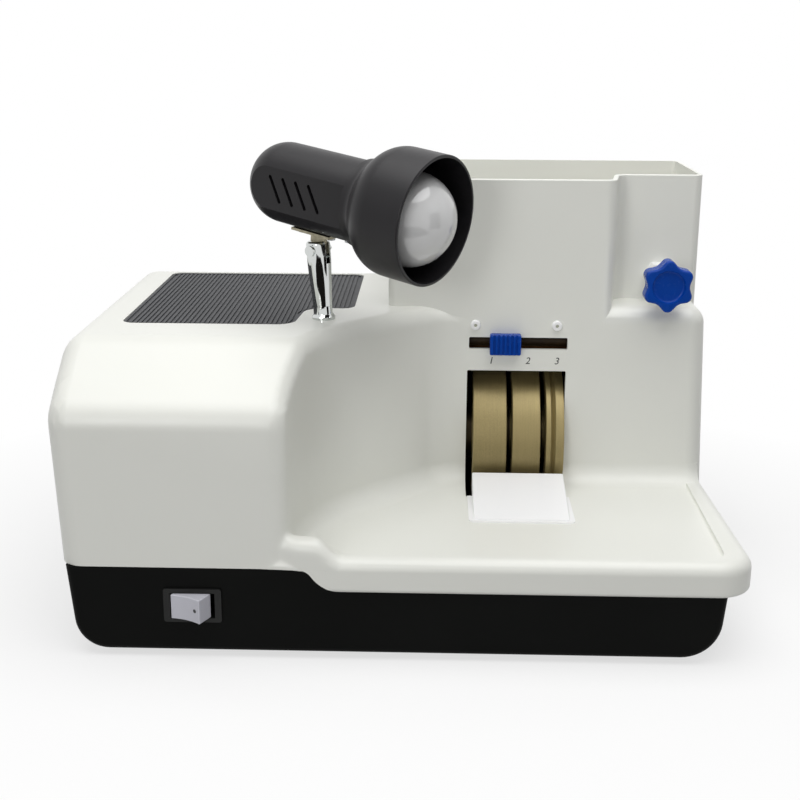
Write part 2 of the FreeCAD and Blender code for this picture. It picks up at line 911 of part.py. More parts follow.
def seam_corners(low, shift):
    """Front view of everything over the parting line, moved up by shift."""
    fall_left = box_side - seam_rise_left
    fall_right = fall_left + seam_fall_run
    ends = half_width + overrun
    middle = (fall_left + fall_right) / 2
    quarter = seam_fall_run / 4
    return [
        (-ends, low, 0),
        (ends, low, 0),
        (ends, seam_low + shift, 0),
        (middle + quarter / 2, seam_low + shift, seam_fall_low_round),
        (middle - quarter / 2, seam_high + shift, seam_fall_high_round),
        (-ends, seam_high + shift, 0),
    ]


def below_seam(shift, low):
    return prism(seam_corners(low, shift), on_xz, lip_front - overrun, back + overrun)


def tray_corners(inset):
    """Plan of the tray, with the notch round the lamp post."""
    left = box_left + tray_left_inset + inset
    right = box_side - tray_right_inset - inset
    front = tray_front + inset
    notch_x = box_side - tray_notch_right - inset
    notch_y = tray_front + tray_notch_depth + inset
    rear = tray_back - inset
    return [
        (left, front, tray_corner - inset),
        (notch_x, front, tray_notch_outer_round - inset),
        (notch_x + tray_notch_slant, notch_y, tray_notch_inner_round + inset),
        (right, notch_y, tray_corner - inset),
        (right, rear, tray_corner - inset),
        (left, rear, tray_corner - inset),
    ]


def boss_places():
    """Where the cover screws stand: four corners and the middle of the long sides."""
    left = tub_left + tub_draft + tub_wall + boss_inset
    right = tub_right - tub_draft - tub_wall - boss_inset
    front = tub_front + tub_wall + boss_inset
    rear = tub_back - tub_wall - boss_inset
    return [(left, front), (left, rear), (right, front), (right, rear)]


def seam_level(x):
    """Height of the parting line at a place."""
    return seam_high if x < box_side else seam_low


def cover_bosses():
    """Screw bosses that hang from the cover's inner faces to the tub's bosses."""
    pieces = []
    for x, y in boss_places():
        low = seam_level(x) + seam_gap
        high = low + cover_boss_rise
        if x > 0 and y < 0:
            high = table_under + cover_wall / 2
        pieces.append(rod_z(boss_radius, low, high, x, y))
        side = -1 if x < 0 else 1
        fore = -1 if y < 0 else 1
        wall_x = box_left + box_draft if x < 0 else body_right
        wall_y = box_front if y < 0 else back
        web = cover_wall / 2
        if not (x > 0 and y < 0):
            reach_x = wall_x - side * cover_wall / 2
            pieces.append(block(min(x, reach_x), max(x, reach_x), y - web, y + web, low, high))
            reach_y = wall_y - fore * cover_wall / 2
            pieces.append(block(x - web, x + web, min(y, reach_y), max(y, reach_y), low, high))
    return pieces


def cover_cavity():
    """Everything inside the cover's wall, open downwards over the tub."""
    inner = soft_housing(cover_wall, seam_low + cover_wall)
    behind = wall_front + corner_radius * 2
    under_table = prism(table_corners(cover_wall, behind), on_xy,
                        seam_low + cover_wall, table_under)
    mouth = block(tub_left + tub_wall, tub_right - tub_wall, tub_front + tub_wall,
                  tub_back - tub_wall, seam_low - overrun, seam_low + cover_wall + overrun)
    return joined([inner, under_table, mouth])


def upper_cover():
    shell = joined([soft_housing(0, seam_low), table_slab()] + table_coves())
    shell = joined([shell, tank_block()])
    shell = shell.cut(cover_cavity())
    tank_hollow = prism(tank_corners(tank_wall), on_xy, box_top, tank_top + overrun)
    pan = prism(tray_corners(-tray_floor), on_xy, box_top - tray_depth - tray_floor,
                box_top - cover_wall / 2)
    shell = joined([shell, pan] + cover_bosses())
    tray = prism(tray_corners(0), on_xy, box_top - tray_depth, box_top + overrun)
    wheel_window = rounded_block_y(window_left, window_right, table_top, window_top, window_round,
                                   wall_front - overrun, wall_inner + overrun)
    table_window = block(window_left, window_right, wall_front - window_table_reach,
                         wall_inner + overrun, table_under - overrun, table_top + cove_radius)
    slot = rounded_block_y(slot_left, slot_right, slot_low, slot_high, window_round,
                           wall_front - overrun, wall_inner + overrun)
    cuts = [tank_hollow, tray, wheel_window, table_window, slot]
    for x in guide_screw_places():
        cuts.append(rod_y(guide_screw_radius + stem_gap, wall_front - overrun,
                          wall_inner + overrun, x, guide_screw_height))
    cuts.append(rod_y(tap_stem_radius + overrun * 2, tank_back_front - overrun,
                      tank_back_front + tank_wall + overrun, tap_x, tap_z))
    cuts.append(rod_z(tap_outlet_radius + seat_gap, ceiling - overrun, box_top + overrun,
                      tap_x, tap_outlet_y()))
    cuts.append(rod_z(post_shank_radius + seat_gap, ceiling - overrun, box_top + overrun,
                      post_x, post_y))
    for x, y in boss_places():
        low = seam_level(x) + seam_gap
        cuts.append(rod_z(cover_screw_radius + fit_gap, low - overrun, low + cover_screw_bite, x, y))
    for x in rest_peg_places():
        cuts.append(rod_z(rest_peg_radius + fit_gap * 2, table_under - overrun,
                          table_top + overrun, x, rest_peg_y()))
    cuts.append(below_seam(seam_gap, 0))
    return shell.cut(cuts)


# Base tub, feet and screws

def foot_places():
    left = tub_left + foot_inset_x
    right = tub_right - foot_inset_x
    front = tub_front + foot_inset_y
    rear = tub_back - foot_inset_y
    return [(left, front), (left, rear), (right, front), (right, rear)]


def cradle_bolt_places():
    left = motor_left + cradle_end_inset - cradle_bolt_inset
    right = motor_right - cradle_end_inset + cradle_bolt_inset
    reach = cradle_width / 2 - cradle_bolt_inset
    return [(x, spindle_y + side * reach) for x in (left, right) for side in (-1, 1)]


def base_tub():
    top = seam_high
    outer_view = [
        (tub_left, top, 0),
        (tub_left + tub_draft, foot_height, tub_left_corner),
        (tub_right - tub_draft, foot_height, tub_right_corner),
        (tub_right, top, 0),
    ]
    inner_view = [
        (tub_left + tub_wall, top + overrun, 0),
        (tub_left + tub_draft + tub_wall, tub_floor, tub_left_corner - tub_wall),
        (tub_right - tub_draft - tub_wall, tub_floor, tub_right_corner - tub_wall),
        (tub_right - tub_wall, top + overrun, 0),
    ]
    outer = prism(outer_view, on_xz, tub_front, tub_back)
    outer = rounded_edges(outer, tub_edge, lambda edge: not lies_at(edge, 2, top) and (
        lies_at(edge, 1, tub_front) or lies_at(edge, 1, tub_back)))
    inner = prism(inner_view, on_xz, tub_front + tub_wall, tub_back - tub_wall)
    inner = rounded_edges(inner, tub_edge / 2,
                          lambda edge: not lies_at(edge, 2, top + overrun) and (
                              lies_at(edge, 1, tub_front + tub_wall)
                              or lies_at(edge, 1, tub_back - tub_wall)))
    tub = outer.cut(inner)
    tub = tub.common(below_seam(0, 0))
    bosses = []
    for x, y in boss_places():
        bosses.append(rod_z(boss_radius, foot_height + tub_wall / 2, seam_level(x), x, y))
    for x, y in cradle_bolt_places():
        bosses.append(rod_z(cradle_boss_radius, foot_height + tub_wall / 2,
                            tub_floor + cradle_boss_height, x, y))
    for x, y in foot_places():
        bosses.append(rod_z(foot_boss_radius, foot_height + tub_wall / 2,
                            tub_floor + foot_boss_height, x, y))
    tub = joined([tub] + bosses)
    cuts = []
    for x, y in boss_places():
        cuts.append(rod_z(cover_screw_radius + fit_gap * 2, foot_height - overrun,
                          seam_high + overrun, x, y))
        cuts.append(rod_z(cover_screw_head_radius + seat_gap, foot_height - overrun,
                          foot_height + cover_screw_head + seat_gap, x, y))
    for x, y in cradle_bolt_places():
        cuts.append(rod_z(cradle_bolt_radius + fit_gap, tub_floor,
                          tub_floor + cradle_boss_height + overrun, x, y))
    for x, y in foot_places():
        cuts.append(rod_z(foot_screw_radius + fit_gap, foot_height - overrun,
                          tub_floor + foot_boss_height - cover_wall / 2, x, y))
    cuts.append(block(switch_x - switch_body_width / 2 - seat_gap,
                      switch_x + switch_body_width / 2 + seat_gap,
                      tub_front - overrun, tub_front + tub_wall + overrun,
                      switch_z - switch_body_height / 2 - seat_gap,
                      switch_z + switch_body_height / 2 + seat_gap))
    cuts.append(rounded_block_y(inlet_x - inlet_body_width / 2 - seat_gap,
                                inlet_x + inlet_body_width / 2 + seat_gap,
                                inlet_z - inlet_body_height / 2 - seat_gap,
                                inlet_z + inlet_body_height / 2 + seat_gap, inlet_round,
                                tub_back - tub_wall - overrun, tub_back + overrun))
    cuts.append(rod_y(spigot_tube_radius + seat_gap, tub_back - tub_wall - overrun,
                      tub_back + overrun, drain_x(), spigot_height))
    return tub.cut(cuts)


def rubber_feet():
    feet = []
    for x, y in foot_places():
        profile = [
            (0, 0, 0),
            (0, foot_radius - foot_taper, foot_taper / 2),
            (foot_height, foot_radius, 0),
            (foot_height, 0, 0),
        ]
        foot = turned_z(profile, x, y)
        foot = foot.cut(rod_z(foot_recess_radius, -overrun, foot_recess_depth, x, y))
        feet.append(foot.cut(rod_z(foot_screw_radius + fit_gap, 0, foot_height + overrun, x, y)))
    return Part.makeCompound(feet)


def feet_screws():
    screws = []
    for x, y in foot_places():
        low = foot_recess_depth - foot_screw_head
        head = rod_z(foot_screw_head_radius, low, foot_recess_depth, x, y)
        shank = rod_z(foot_screw_radius, foot_recess_depth - overrun / 2,
                      tub_floor + foot_boss_height - cover_wall, x, y)
        screws.append(head.fuse(shank).removeSplitter())
    return Part.makeCompound(screws)


def cover_screws():
    screws = []
    for x, y in boss_places():
        head_top = foot_height + cover_screw_head + seat_gap
        head = rod_z(cover_screw_head_radius, head_top - cover_screw_head, head_top, x, y)
        shank = rod_z(cover_screw_radius, head_top - overrun / 2,
                      seam_level(x) + seam_gap + cover_screw_bite - overrun, x, y)
        screws.append(head.fuse(shank).removeSplitter())
    return Part.makeCompound(screws)


def tray_mat():
    """Ribbed mat: a thin plate with a smooth border and ribs from front to back."""
    low = box_top - tray_depth
    base = prism(tray_corners(mat_side_gap), on_xy, low, low + mat_base)
    field = prism(tray_corners(mat_side_gap + mat_border), on_xy, low + mat_base / 2,
                  low + mat_base + mat_rib_height)
    box = field.BoundBox
    ribs = []
    count = int(box.XLength / mat_rib_pitch)
    start = box.XMin + (box.XLength - count * mat_rib_pitch) / 2
    for number in range(count):
        x = start + (number + 1 / 2) * mat_rib_pitch
        ribs.append(block(x - mat_rib_width / 2, x + mat_rib_width / 2, box.YMin - overrun,
                          box.YMax + overrun, box.ZMin, box.ZMax))
    ribs = field.common(Part.makeCompound(ribs))
    border = base.cut(prism(tray_corners(mat_side_gap + mat_border / 2), on_xy, low + mat_base / 2,
                            low + mat_base + overrun))
    edge = prism(tray_corners(mat_side_gap), on_xy, low + mat_base / 2,
                 low + mat_base + mat_rib_height)
    edge = edge.cut(prism(tray_corners(mat_side_gap + mat_border / 2), on_xy, low,
                          low + mat_base + mat_rib_height + overrun))
    return joined([base, border, edge] + ribs.Solids)


# Spindle

def wheel(left, wheel_width):
    """A bonded wheel: full hub and rim with a thinner web between."""
    right = left + wheel_width
    web_outer = wheel_radius - wheel_rim
    profile = [
        (left, shaft_wheel_radius + fit_gap, 0),
        (left, wheel_hub_radius, 0),
        (left + wheel_web_inset, wheel_hub_radius, wheel_edge_round),
        (left + wheel_web_inset, web_outer, wheel_edge_round),
        (left, web_outer, 0),
        (left, wheel_radius, wheel_edge_round),
        (right, wheel_radius, wheel_edge_round),
        (right, web_outer, 0),
        (right - wheel_web_inset, web_outer, wheel_edge_round),
        (right - wheel_web_inset, wheel_hub_radius, wheel_edge_round),
        (right, wheel_hub_radius, 0),
        (right, shaft_wheel_radius + fit_gap, 0),
    ]
    return turned_x(profile, spindle_y, spindle_z)


def wheel_bevel():
    """The finishing wheel, with the V groove that leaves a bevel on the lens."""
    body = wheel(bevel_left, bevel_width)
    middle = bevel_left + bevel_width * groove_share
    profile = [
        (middle - groove_width / 2, wheel_radius, 0),
        (middle, wheel_radius - groove_depth, 0),
        (middle + groove_width / 2, wheel_radius, 0),
        (middle + groove_width / 2, wheel_radius + overrun, 0),
        (middle - groove_width / 2, wheel_radius + overrun, 0),
    ]
    return body.cut(turned_x(profile, spindle_y, spindle_z))


def wheel_spacers():
    rings = []
    for left in (wheels_left + rough_width, fine_left + fine_width):
        rings.append(ring_x(spacer_radius, shaft_wheel_radius + fit_gap, left,
                            left + wheel_spacing, spindle_y, spindle_z))
    return Part.makeCompound(rings)


def front_bearing_span():
    right = snout_end - front_bearing_inset
    return right - front_bearing_length, right


def rear_bearing_span():
    left = bell_left + bell_wall
    return left, left + rear_bearing_length


def spindle_shaft():
    """Stepped shaft from the fan to the threaded end."""
    rear_left, rear_right = rear_bearing_span()
    front_left, front_right = front_bearing_span()
    flange_left = wheels_left - inner_flange_length
    clamp_middle = wheels_right + clamp_flange_length / 2
    left = bell_left - fan_gap - fan_length - overrun
    right = clamp_middle + shaft_thread_length
    profile = [
        (left, 0, 0),
        (left, shaft_rear_radius, 0),
        (rear_right, shaft_rear_radius, 0),
        (rear_right, shaft_rotor_radius, 0),
        (front_left, shaft_rotor_radius, 0),
        (front_left, shaft_bearing_radius, 0),
        (flange_left, shaft_bearing_radius, 0),
        (flange_left, shaft_wheel_radius, 0),
        (clamp_middle, shaft_wheel_radius, 0),
        (clamp_middle, shaft_thread_radius, 0),
        (right, shaft_thread_radius, 0),
        (right, 0, 0),
    ]
    return turned_x(profile, spindle_y, spindle_z)


def inner_flange():
    left = wheels_left - inner_flange_length
    return ring_x(inner_flange_radius, shaft_wheel_radius + fit_gap, left, wheels_left,
                  spindle_y, spindle_z)


def clamp_flange():
    return ring_x(inner_flange_radius, shaft_wheel_radius + fit_gap, wheels_right,
                  wheels_right + clamp_flange_length, spindle_y, spindle_z)


def spindle_nut():
    left = wheels_right + clamp_flange_length
    body = prism(hexagon(nut_across, on_yz, spindle_y, spindle_z), on_yz, left, left + nut_length)
    return body.cut(rod_x(shaft_thread_radius + fit_gap, left - overrun,
                          left + nut_length + overrun, spindle_y, spindle_z))


def slinger():
    """Thin disc that throws water off before it reaches the seal."""
    right = wheels_left - inner_flange_length - seat_gap
    return ring_x(slinger_radius, shaft_bearing_radius + fit_gap, right - slinger_length, right,
                  spindle_y, spindle_z)


def rotor():
    middle = (motor_left + motor_right) / 2
    return ring_x(rotor_radius, shaft_rotor_radius + fit_gap, middle - stator_length / 2,
                  middle + stator_length / 2, spindle_y, spindle_z)


def cooling_fan():
    """Radial fan: hub, back plate and straight blades."""
    right = bell_left - fan_gap
    left = right - fan_length
    hub = rod_x(fan_hub_radius, left, right, spindle_y, spindle_z)
    plate = rod_x(fan_radius, right - fan_plate, right, spindle_y, spindle_z)
    blades = []
    for number in range(fan_blades):
        blade = block(left, right - fan_plate / 2, spindle_y - fan_blade / 2,
                      spindle_y + fan_blade / 2, spindle_z + fan_hub_radius / 2,
                      spindle_z + fan_radius - fan_blade)
        blade.rotate(V(0, spindle_y, spindle_z), V(1, 0, 0), 360 * number / fan_blades)
        blades.append(blade)
    fan = joined([hub, plate] + blades)
    return fan.cut(rod_x(shaft_rear_radius + fit_gap, left - overrun, right + overrun,
                         spindle_y, spindle_z))


def bearing_spans():
    return ((rear_bearing_span(), rear_bearing_radius, shaft_rear_radius),
            (front_bearing_span(), front_bearing_radius, shaft_bearing_radius))


def bearing_outer_rings():
    rings = []
    for (left, right), outer, shaft in bearing_spans():
        rings.append(ring_x(outer, shaft + inner_ring_wall + fit_gap, left, right,
                            spindle_y, spindle_z))
    return Part.makeCompound(rings)


def bearing_inner_rings():
    rings = []
    for (left, right), outer, shaft in bearing_spans():
        rings.append(ring_x(shaft + inner_ring_wall, shaft + fit_gap, left, right,
                            spindle_y, spindle_z))
    return Part.makeCompound(rings)


# Motor

def tie_rod_places():
    places = []
    for number in range(4):
        angle = math.radians(45 + 90 * number)
        places.append((spindle_y + tie_rod_circle * math.cos(angle),
                       spindle_z + tie_rod_circle * math.sin(angle)))
    return places


def motor_shell():
    return ring_x(motor_radius, motor_radius - motor_shell_wall, motor_left, motor_right,
                  spindle_y, spindle_z)


def motor_bell_rear():
    """Dished end bell with the rear bearing seat."""
    left, right = rear_bearing_span()
    seat = rear_bearing_radius + fit_gap
    profile = [
        (bell_left, shaft_rear_radius + snout_bore_gap, 0),
        (bell_left, motor_radius, bell_round),
        (motor_left, motor_radius, 0),
        (motor_left, motor_radius - bell_wall, 0),
        (bell_left + bell_wall, motor_radius - bell_wall, bell_round - bell_wall),
        (bell_left + bell_wall, seat + bell_wall, 0),
        (right, seat + bell_wall, 0),
        (right, seat, 0),
        (left, seat, 0),
        (left, shaft_rear_radius + snout_bore_gap, 0),
    ]
    bell = turned_x(profile, spindle_y, spindle_z)
    for y, z in tie_rod_places():
        bell = bell.cut(rod_x(tie_rod_radius + fit_gap, bell_left - overrun, motor_left, y, z))
    return bell


def motor_bell_front():
    """End bell with the long snout that carries the front bearing next to the wheels."""
    left, right = front_bearing_span()
    seat = front_bearing_radius + fit_gap
    bore = shaft_rotor_radius + snout_bore_gap
    profile = [
        (motor_right, motor_radius, 0),
        (bell_right, motor_radius, bell_round),
        (bell_right, snout_radius, bell_wall),
        (snout_end, snout_radius, bell_wall / 2),
        (snout_end, seat, 0),
        (left, seat, 0),
        (left, bore, 0),
        (motor_right + bell_wall, bore, 0),
        (motor_right + bell_wall, motor_radius - bell_wall, 0),
        (motor_right, motor_radius - bell_wall, 0),
    ]
    bell = turned_x(profile, spindle_y, spindle_z)
    for y, z in tie_rod_places():
        bell = bell.cut(rod_x(tie_rod_radius + fit_gap, motor_right, bell_right + overrun, y, z))
    return bell


def stator_core():
    middle = (motor_left + motor_right) / 2
    core = ring_x(stator_radius, rotor_radius + air_gap, middle - stator_length / 2,
                  middle + stator_length / 2, spindle_y, spindle_z)
    for y, z in tie_rod_places():
        core = core.cut(rod_x(tie_rod_radius + fit_gap * 2, motor_left, motor_right, y, z))
    return core


def stator_windings():
    """Taped end turns on both sides of the stack."""
    middle = (motor_left + motor_right) / 2
    inner = rotor_radius + winding_inset
    outer = tie_rod_circle - tie_rod_radius - air_gap
    turns = []
    for start, end in ((middle - stator_length / 2 - winding_length, middle - stator_length / 2),
                       (middle + stator_length / 2, middle + stator_length / 2 + winding_length)):
        profile = [
            (start, inner, 0),
            (start, outer, 0),
            (end, outer, 0),
            (end, inner, 0),
        ]
        far = 0 if start < middle - stator_length / 2 else 2
        profile[far] = (profile[far][0], profile[far][1], winding_round / 2)
        turns.append(turned_x(profile, spindle_y, spindle_z))
    return Part.makeCompound(turns)


def motor_tie_rods():
    rods = []
    for y, z in tie_rod_places():
        rod = rod_x(tie_rod_radius, bell_left - tie_rod_head / 2, bell_right + tie_rod_head, y, z)
        left_head = rod_x(tie_rod_head_radius, bell_left - tie_rod_head, bell_left, y, z)
        right_head = rod_x(tie_rod_head_radius, bell_right, bell_right + tie_rod_head, y, z)
        rods.append(joined([rod, left_head, right_head]))
    return Part.makeCompound(rods)


def motor_cradle():
    """Plate on four tub bosses with two saddles under the motor shell."""
    low = tub_floor + cradle_boss_height
    left = motor_left + cradle_end_inset - cradle_bolt_inset * 2
    right = motor_right - cradle_end_inset + cradle_bolt_inset * 2
    front = spindle_y - cradle_width / 2
    rear = spindle_y + cradle_width / 2
    plate = block(left, right, front, rear, low, low + cradle_plate)
    top = low + (spindle_z - low) * cradle_saddle_rise_share
    pieces = [plate]
    for x in (motor_left + cradle_end_inset, motor_right - cradle_end_inset - cradle_saddle):
        corners = [
            (front + cradle_bolt_inset * 2, low + cradle_plate / 2, 0),
            (rear - cradle_bolt_inset * 2, low + cradle_plate / 2, 0),
            (rear - cradle_bolt_inset, top, 0),
            (front + cradle_bolt_inset, top, 0),
        ]
        pieces.append(prism(corners, on_yz, x, x + cradle_saddle))
    cradle = joined(pieces)
    cradle = cradle.cut(rod_x(motor_radius + cradle_gap, left - overrun, right + overrun,
                              spindle_y, spindle_z))
    for x, y in cradle_bolt_places():
        cradle = cradle.cut(rod_z(cradle_bolt_radius + fit_gap, low - overrun,
                                  low + cradle_plate + overrun, x, y))
    return cradle


def cradle_bolts():
    bolts = []
    plate_top = tub_floor + cradle_boss_height + cradle_plate
    for x, y in cradle_bolt_places():
        head = prism(hexagon(cradle_bolt_head_radius * math.sqrt(3), on_xy, x, y), on_xy,
                     plate_top, plate_top + cradle_bolt_head)
        shank = rod_z(cradle_bolt_radius, tub_floor + overrun / 2, plate_top + overrun / 2, x, y)
        bolts.append(head.fuse(shank).removeSplitter())
    return Part.makeCompound(bolts)


# Splash chamber

def drain_x():
    return (wheels_left + wheels_right) / 2


def chamber_profile(inset):
    """Side view of the chamber: a trough that reaches forward under the table."""
    front = chamber_front + inset
    rear = chamber_back - inset
    seat = wall_inner + seat_gap
    open_front = seat if inset == 0 else seat - overrun
    open_top = table_under - seat_gap if inset == 0 else table_under + overrun
    corner = chamber_corner - inset
    chamfer = chamber_chamfer if inset == 0 else fit_gap
    return [
        (front, open_top, 0),
        (front, chamber_floor + inset, corner),
        (rear, chamber_floor - chamber_floor_fall + inset, corner),
        (rear, chamber_top - inset, corner),
        (open_front + chamfer, chamber_top - inset, 0),
        (open_front, chamber_top - inset - chamfer, 0),
        (open_front, open_top, 0),
    ]


def wheel_chamber():
    left = chamber_left - chamber_wall
    right = chamber_right + chamber_wall
    shell = prism(chamber_profile(0), on_yz, left, right)
    shell = shell.cut(prism(chamber_profile(chamber_wall), on_yz, chamber_left, chamber_right))
    legs = []
    for x in (chamber_left + chamber_leg_inset, chamber_right - chamber_leg_inset):
        for y in (chamber_front + chamber_leg_inset, chamber_back - chamber_leg_inset):
            legs.append(rod_z(chamber_leg_radius, tub_floor, chamber_floor + overrun / 2, x, y))
    legs = Part.makeCompound(legs).cut(
        prism(chamber_profile(chamber_wall / 2), on_yz, chamber_left, chamber_right))
    shell = joined([shell] + legs.Solids)
    cuts = [
        rod_x(seal_radius + fit_gap, left - overrun, chamber_left + overrun, spindle_y, spindle_z),
        rod_y(spigot_tube_radius + fit_gap, chamber_back - chamber_wall - overrun,
              chamber_back + overrun, drain_x(), spigot_height),
        rod_x(rail_radius + fit_gap, chamber_right - overrun, right + overrun, rail_y, rail_z),
    ]
    return shell.cut(cuts)


def shaft_seal():
    """Lip seal in the chamber's left wall."""
    left = chamber_left - chamber_wall
    bore = shaft_bearing_radius + fit_gap
    body = ring_x(seal_radius, bore, left - seal_length + chamber_wall, chamber_left,
                  spindle_y, spindle_z)
    flange = ring_x(seal_flange_radius, bore, chamber_left, chamber_left + seal_flange,
                    spindle_y, spindle_z)
    return body.fuse(flange).removeSplitter()


def drain_spigot():
    """Drain tube from the chamber out through the tub's back, with a collar and a nipple."""
    start = chamber_back - chamber_wall
    end = back + spigot_reach
    profile = [
        (start, spigot_bore, 0),
        (start, spigot_tube_radius, 0),
        (tub_back + fit_gap, spigot_tube_radius, 0),
        (tub_back + fit_gap, spigot_collar_radius, 0),
        (back, spigot_collar_radius, 0),
        (back, spigot_radius, 0),
        (end, spigot_radius, 0),
        (end, spigot_bore, 0),
    ]
    return turned_y(profile, drain_x(), spigot_height)


# Lens rest

def rest_span():
    return wheels_left - rest_side_gap, wheels_right - rest_right_inset


def rest_peg_y():
    return rest_front + rest_peg_setback


def rest_peg_places():
    left, right = rest_span()
    third = (right - left) / 3
    return left + third, right - third


def lens_rest():
    """Ramp with skirts and a thin flange, moulded as one sheet, with two locating pegs."""
    left, right = rest_span()
    ramp = [
        (rest_front, table_top, 0),
        (rest_front, rest_low, 0),
        (rest_back, rest_high, rest_round),
        (rest_back, table_top, 0),
    ]
    inner = [
        (rest_front + rest_sheet * 4, table_top - overrun, 0),
        (rest_front + rest_sheet * 4, rest_low, 0),
        (rest_back - rest_sheet, rest_high - rest_sheet * 1.3, 0),
        (rest_back - rest_sheet, table_top - overrun, 0),
    ]
    form = prism(ramp, on_yz, left, right)
    form = rounded_edges(form, rest_sheet / 2, lambda edge: edge.BoundBox.YLength > overrun and (
        lies_at(edge, 0, left) or lies_at(edge, 0, right)) and edge.BoundBox.ZMax > rest_low
        + fit_gap)
    form = form.cut(prism(inner, on_yz, left + rest_sheet, right - rest_sheet))
    reach = rest_flange_reach
    edge = wall_front - window_table_reach
    flange = prism([
        (left - reach, rest_front - reach, rest_flange_round),
        (right + reach, rest_front - reach, rest_flange_round),
        (right + reach, edge - overrun, 0),
        (left - reach, edge - overrun, 0),
    ], on_xy, table_top, table_top + rest_flange)
    hollow = block(left + rest_sheet, right - rest_sheet, rest_front + rest_sheet * 4, edge,
                   table_top - overrun, table_top + rest_flange + overrun)
    pieces = [form, flange.cut(hollow)]
    for x in rest_peg_places():
        pieces.append(rod_z(rest_peg_radius, table_top - rest_peg_length, rest_low + rest_sheet,
                            x, rest_peg_y()))
    return joined(pieces)


# Slider and water rail

def slider_cap():
    """Blue thumb piece with upright grooves."""
    near = wall_front - seat_gap - cap_depth
    far = wall_front - seat_gap
    half = cap_width / 2
    low = slot_centre - cap_height / 2
    high = slot_centre + cap_height / 2
    cap = block(cap_x - half, cap_x + half, near, far, low, high)
    cap = rounded_edges(cap, cap_round, lambda edge: not lies_at(edge, 1, far))
    pitch = cap_width / (cap_rib_count + 1)
    for number in range(cap_rib_count):
        x = cap_x - half + pitch * (number + 1)
        cap = cap.cut(block(x - cap_rib_groove / 2, x + cap_rib_groove / 2, near - overrun,
                            near + cap_rib_depth, low - overrun, high + overrun))
    return cap


def nozzle_carriage():
    """Carriage on the water rail, with the stem through the slot and the nozzle below."""
    half = carriage_width / 2
    front = rail_y - carriage_depth / 2
    body = block(cap_x - half, cap_x + half, front, front + carriage_depth,
                 rail_z - carriage_height / 2, rail_z + carriage_height / 2)
    body = rounded_edges(body, cap_round, lambda edge: edge.BoundBox.XLength > overrun)
    stem = block(cap_x - stem_width / 2, cap_x + stem_width / 2, wall_front - seat_gap,
                 front + overrun, slot_low + stem_gap, slot_high - stem_gap)
    low = rail_z - carriage_height / 2
    nozzle = Part.makeCone(nozzle_tip_radius, nozzle_radius, nozzle_length,
                           V(cap_x, rail_y, low - nozzle_length), V(0, 0, 1))
    whole = joined([body, stem, nozzle])
    whole = whole.cut(rod_x(rail_radius + fit_gap, cap_x - half - overrun, cap_x + half + overrun,
                            rail_y, rail_z))
    return whole.cut(rod_z(nozzle_bore, low - nozzle_length - overrun, rail_z, cap_x, rail_y))


def bracket_ears():
    left = chamber_left + bracket_inset
    right = chamber_right - bracket_inset - bracket_ear
    return left, right


def rail_end():
    return chamber_right + chamber_wall + rail_end_reach


def water_rail():
    """Tube that guides the carriage and feeds it through a slit underneath."""
    left = bracket_ears()[0]
    tube = ring_x(rail_radius, rail_bore, left, rail_end(), rail_y, rail_z)
    plug = rod_x(rail_bore + overrun / 4, left, left + bracket_ear, rail_y, rail_z)
    slit = block(slot_left, slot_right, rail_y - rail_slot / 2, rail_y + rail_slot / 2,
                 rail_z - rail_radius - overrun, rail_z)
    return joined([tube, plug]).cut(slit)


def guide_screw_places():
    return window_left + bracket_inset * 2 + guide_screw_inset_left, window_right \
        - guide_screw_inset_right


def guide_bracket():
    """Bar behind the wall with two ears that hold the water rail."""
    left, right = bracket_ears()
    near = wall_inner + seat_gap
    ear_low = rail_z - rail_radius - bracket_ear
    ear_back = rail_y + rail_radius + bracket_ear
    pieces = [block(left, right + bracket_ear, near, near + bracket_bar, bracket_low,
                    bracket_high)]
    for x in (left, right):
        corners = [
            (near, ear_low, 0),
            (ear_back, ear_low, bracket_ear),
            (ear_back, bracket_low + bracket_ear, bracket_ear),
            (near, bracket_high, 0),
        ]
        pieces.append(prism(corners, on_yz, x, x + bracket_ear))
    bracket = joined(pieces)
    bracket = bracket.cut(rod_x(rail_radius + fit_gap, left - overrun,
                                right + bracket_ear + overrun, rail_y, rail_z))
    for x in guide_screw_places():
        bracket = bracket.cut(rod_y(guide_screw_radius + fit_gap, near - overrun,
                                    near + bracket_bar + overrun, x, guide_screw_height))
    return bracket


def guide_screws():
    screws = []
    end = wall_inner + seat_gap + bracket_bar
    for x in guide_screw_places():
        profile = [
            (wall_front - guide_screw_head, 0, 0),
            (wall_front - guide_screw_head, guide_screw_head_radius, guide_screw_head / 2),
            (wall_front, guide_screw_head_radius, 0),
            (wall_front, guide_screw_radius, 0),
            (end, guide_screw_radius, 0),
            (end, 0, 0),
        ]
        screw = turned_y(profile, x, guide_screw_height)
        dimple = rod_y(guide_screw_dimple_radius, wall_front - guide_screw_head - overrun,
                       wall_front - guide_screw_head + guide_screw_dimple, x, guide_screw_height)
        screws.append(screw.cut(dimple))
    return Part.makeCompound(screws)


def splash_hood():
    """Bent sheet over and behind the wheels."""
    inner = wheel_radius + hood_gap
    outer = inner + hood_sheet
    left = chamber_left + seat_gap
    right = chamber_right - seat_gap
    front = wall_front + hood_setback
    arc = ring_x(outer, inner, left, right, spindle_y, spindle_z)
    keep_corners = [
        (front, spindle_z, 0),
        (spindle_y + outer + overrun, spindle_z, 0),
        (spindle_y + outer + overrun, spindle_z + outer + overrun, 0),
        (front, spindle_z + outer + overrun, 0),
    ]
    arc = arc.common(prism(keep_corners, on_yz, left, right))
    start = math.sqrt(inner ** 2 - (spindle_y - front) ** 2)
    apron = block(left, right, front, front + hood_sheet, spindle_z + start,
                  chamber_top - chamber_wall - hood_top_gap)
    return arc.fuse(apron).removeSplitter()


# Tap

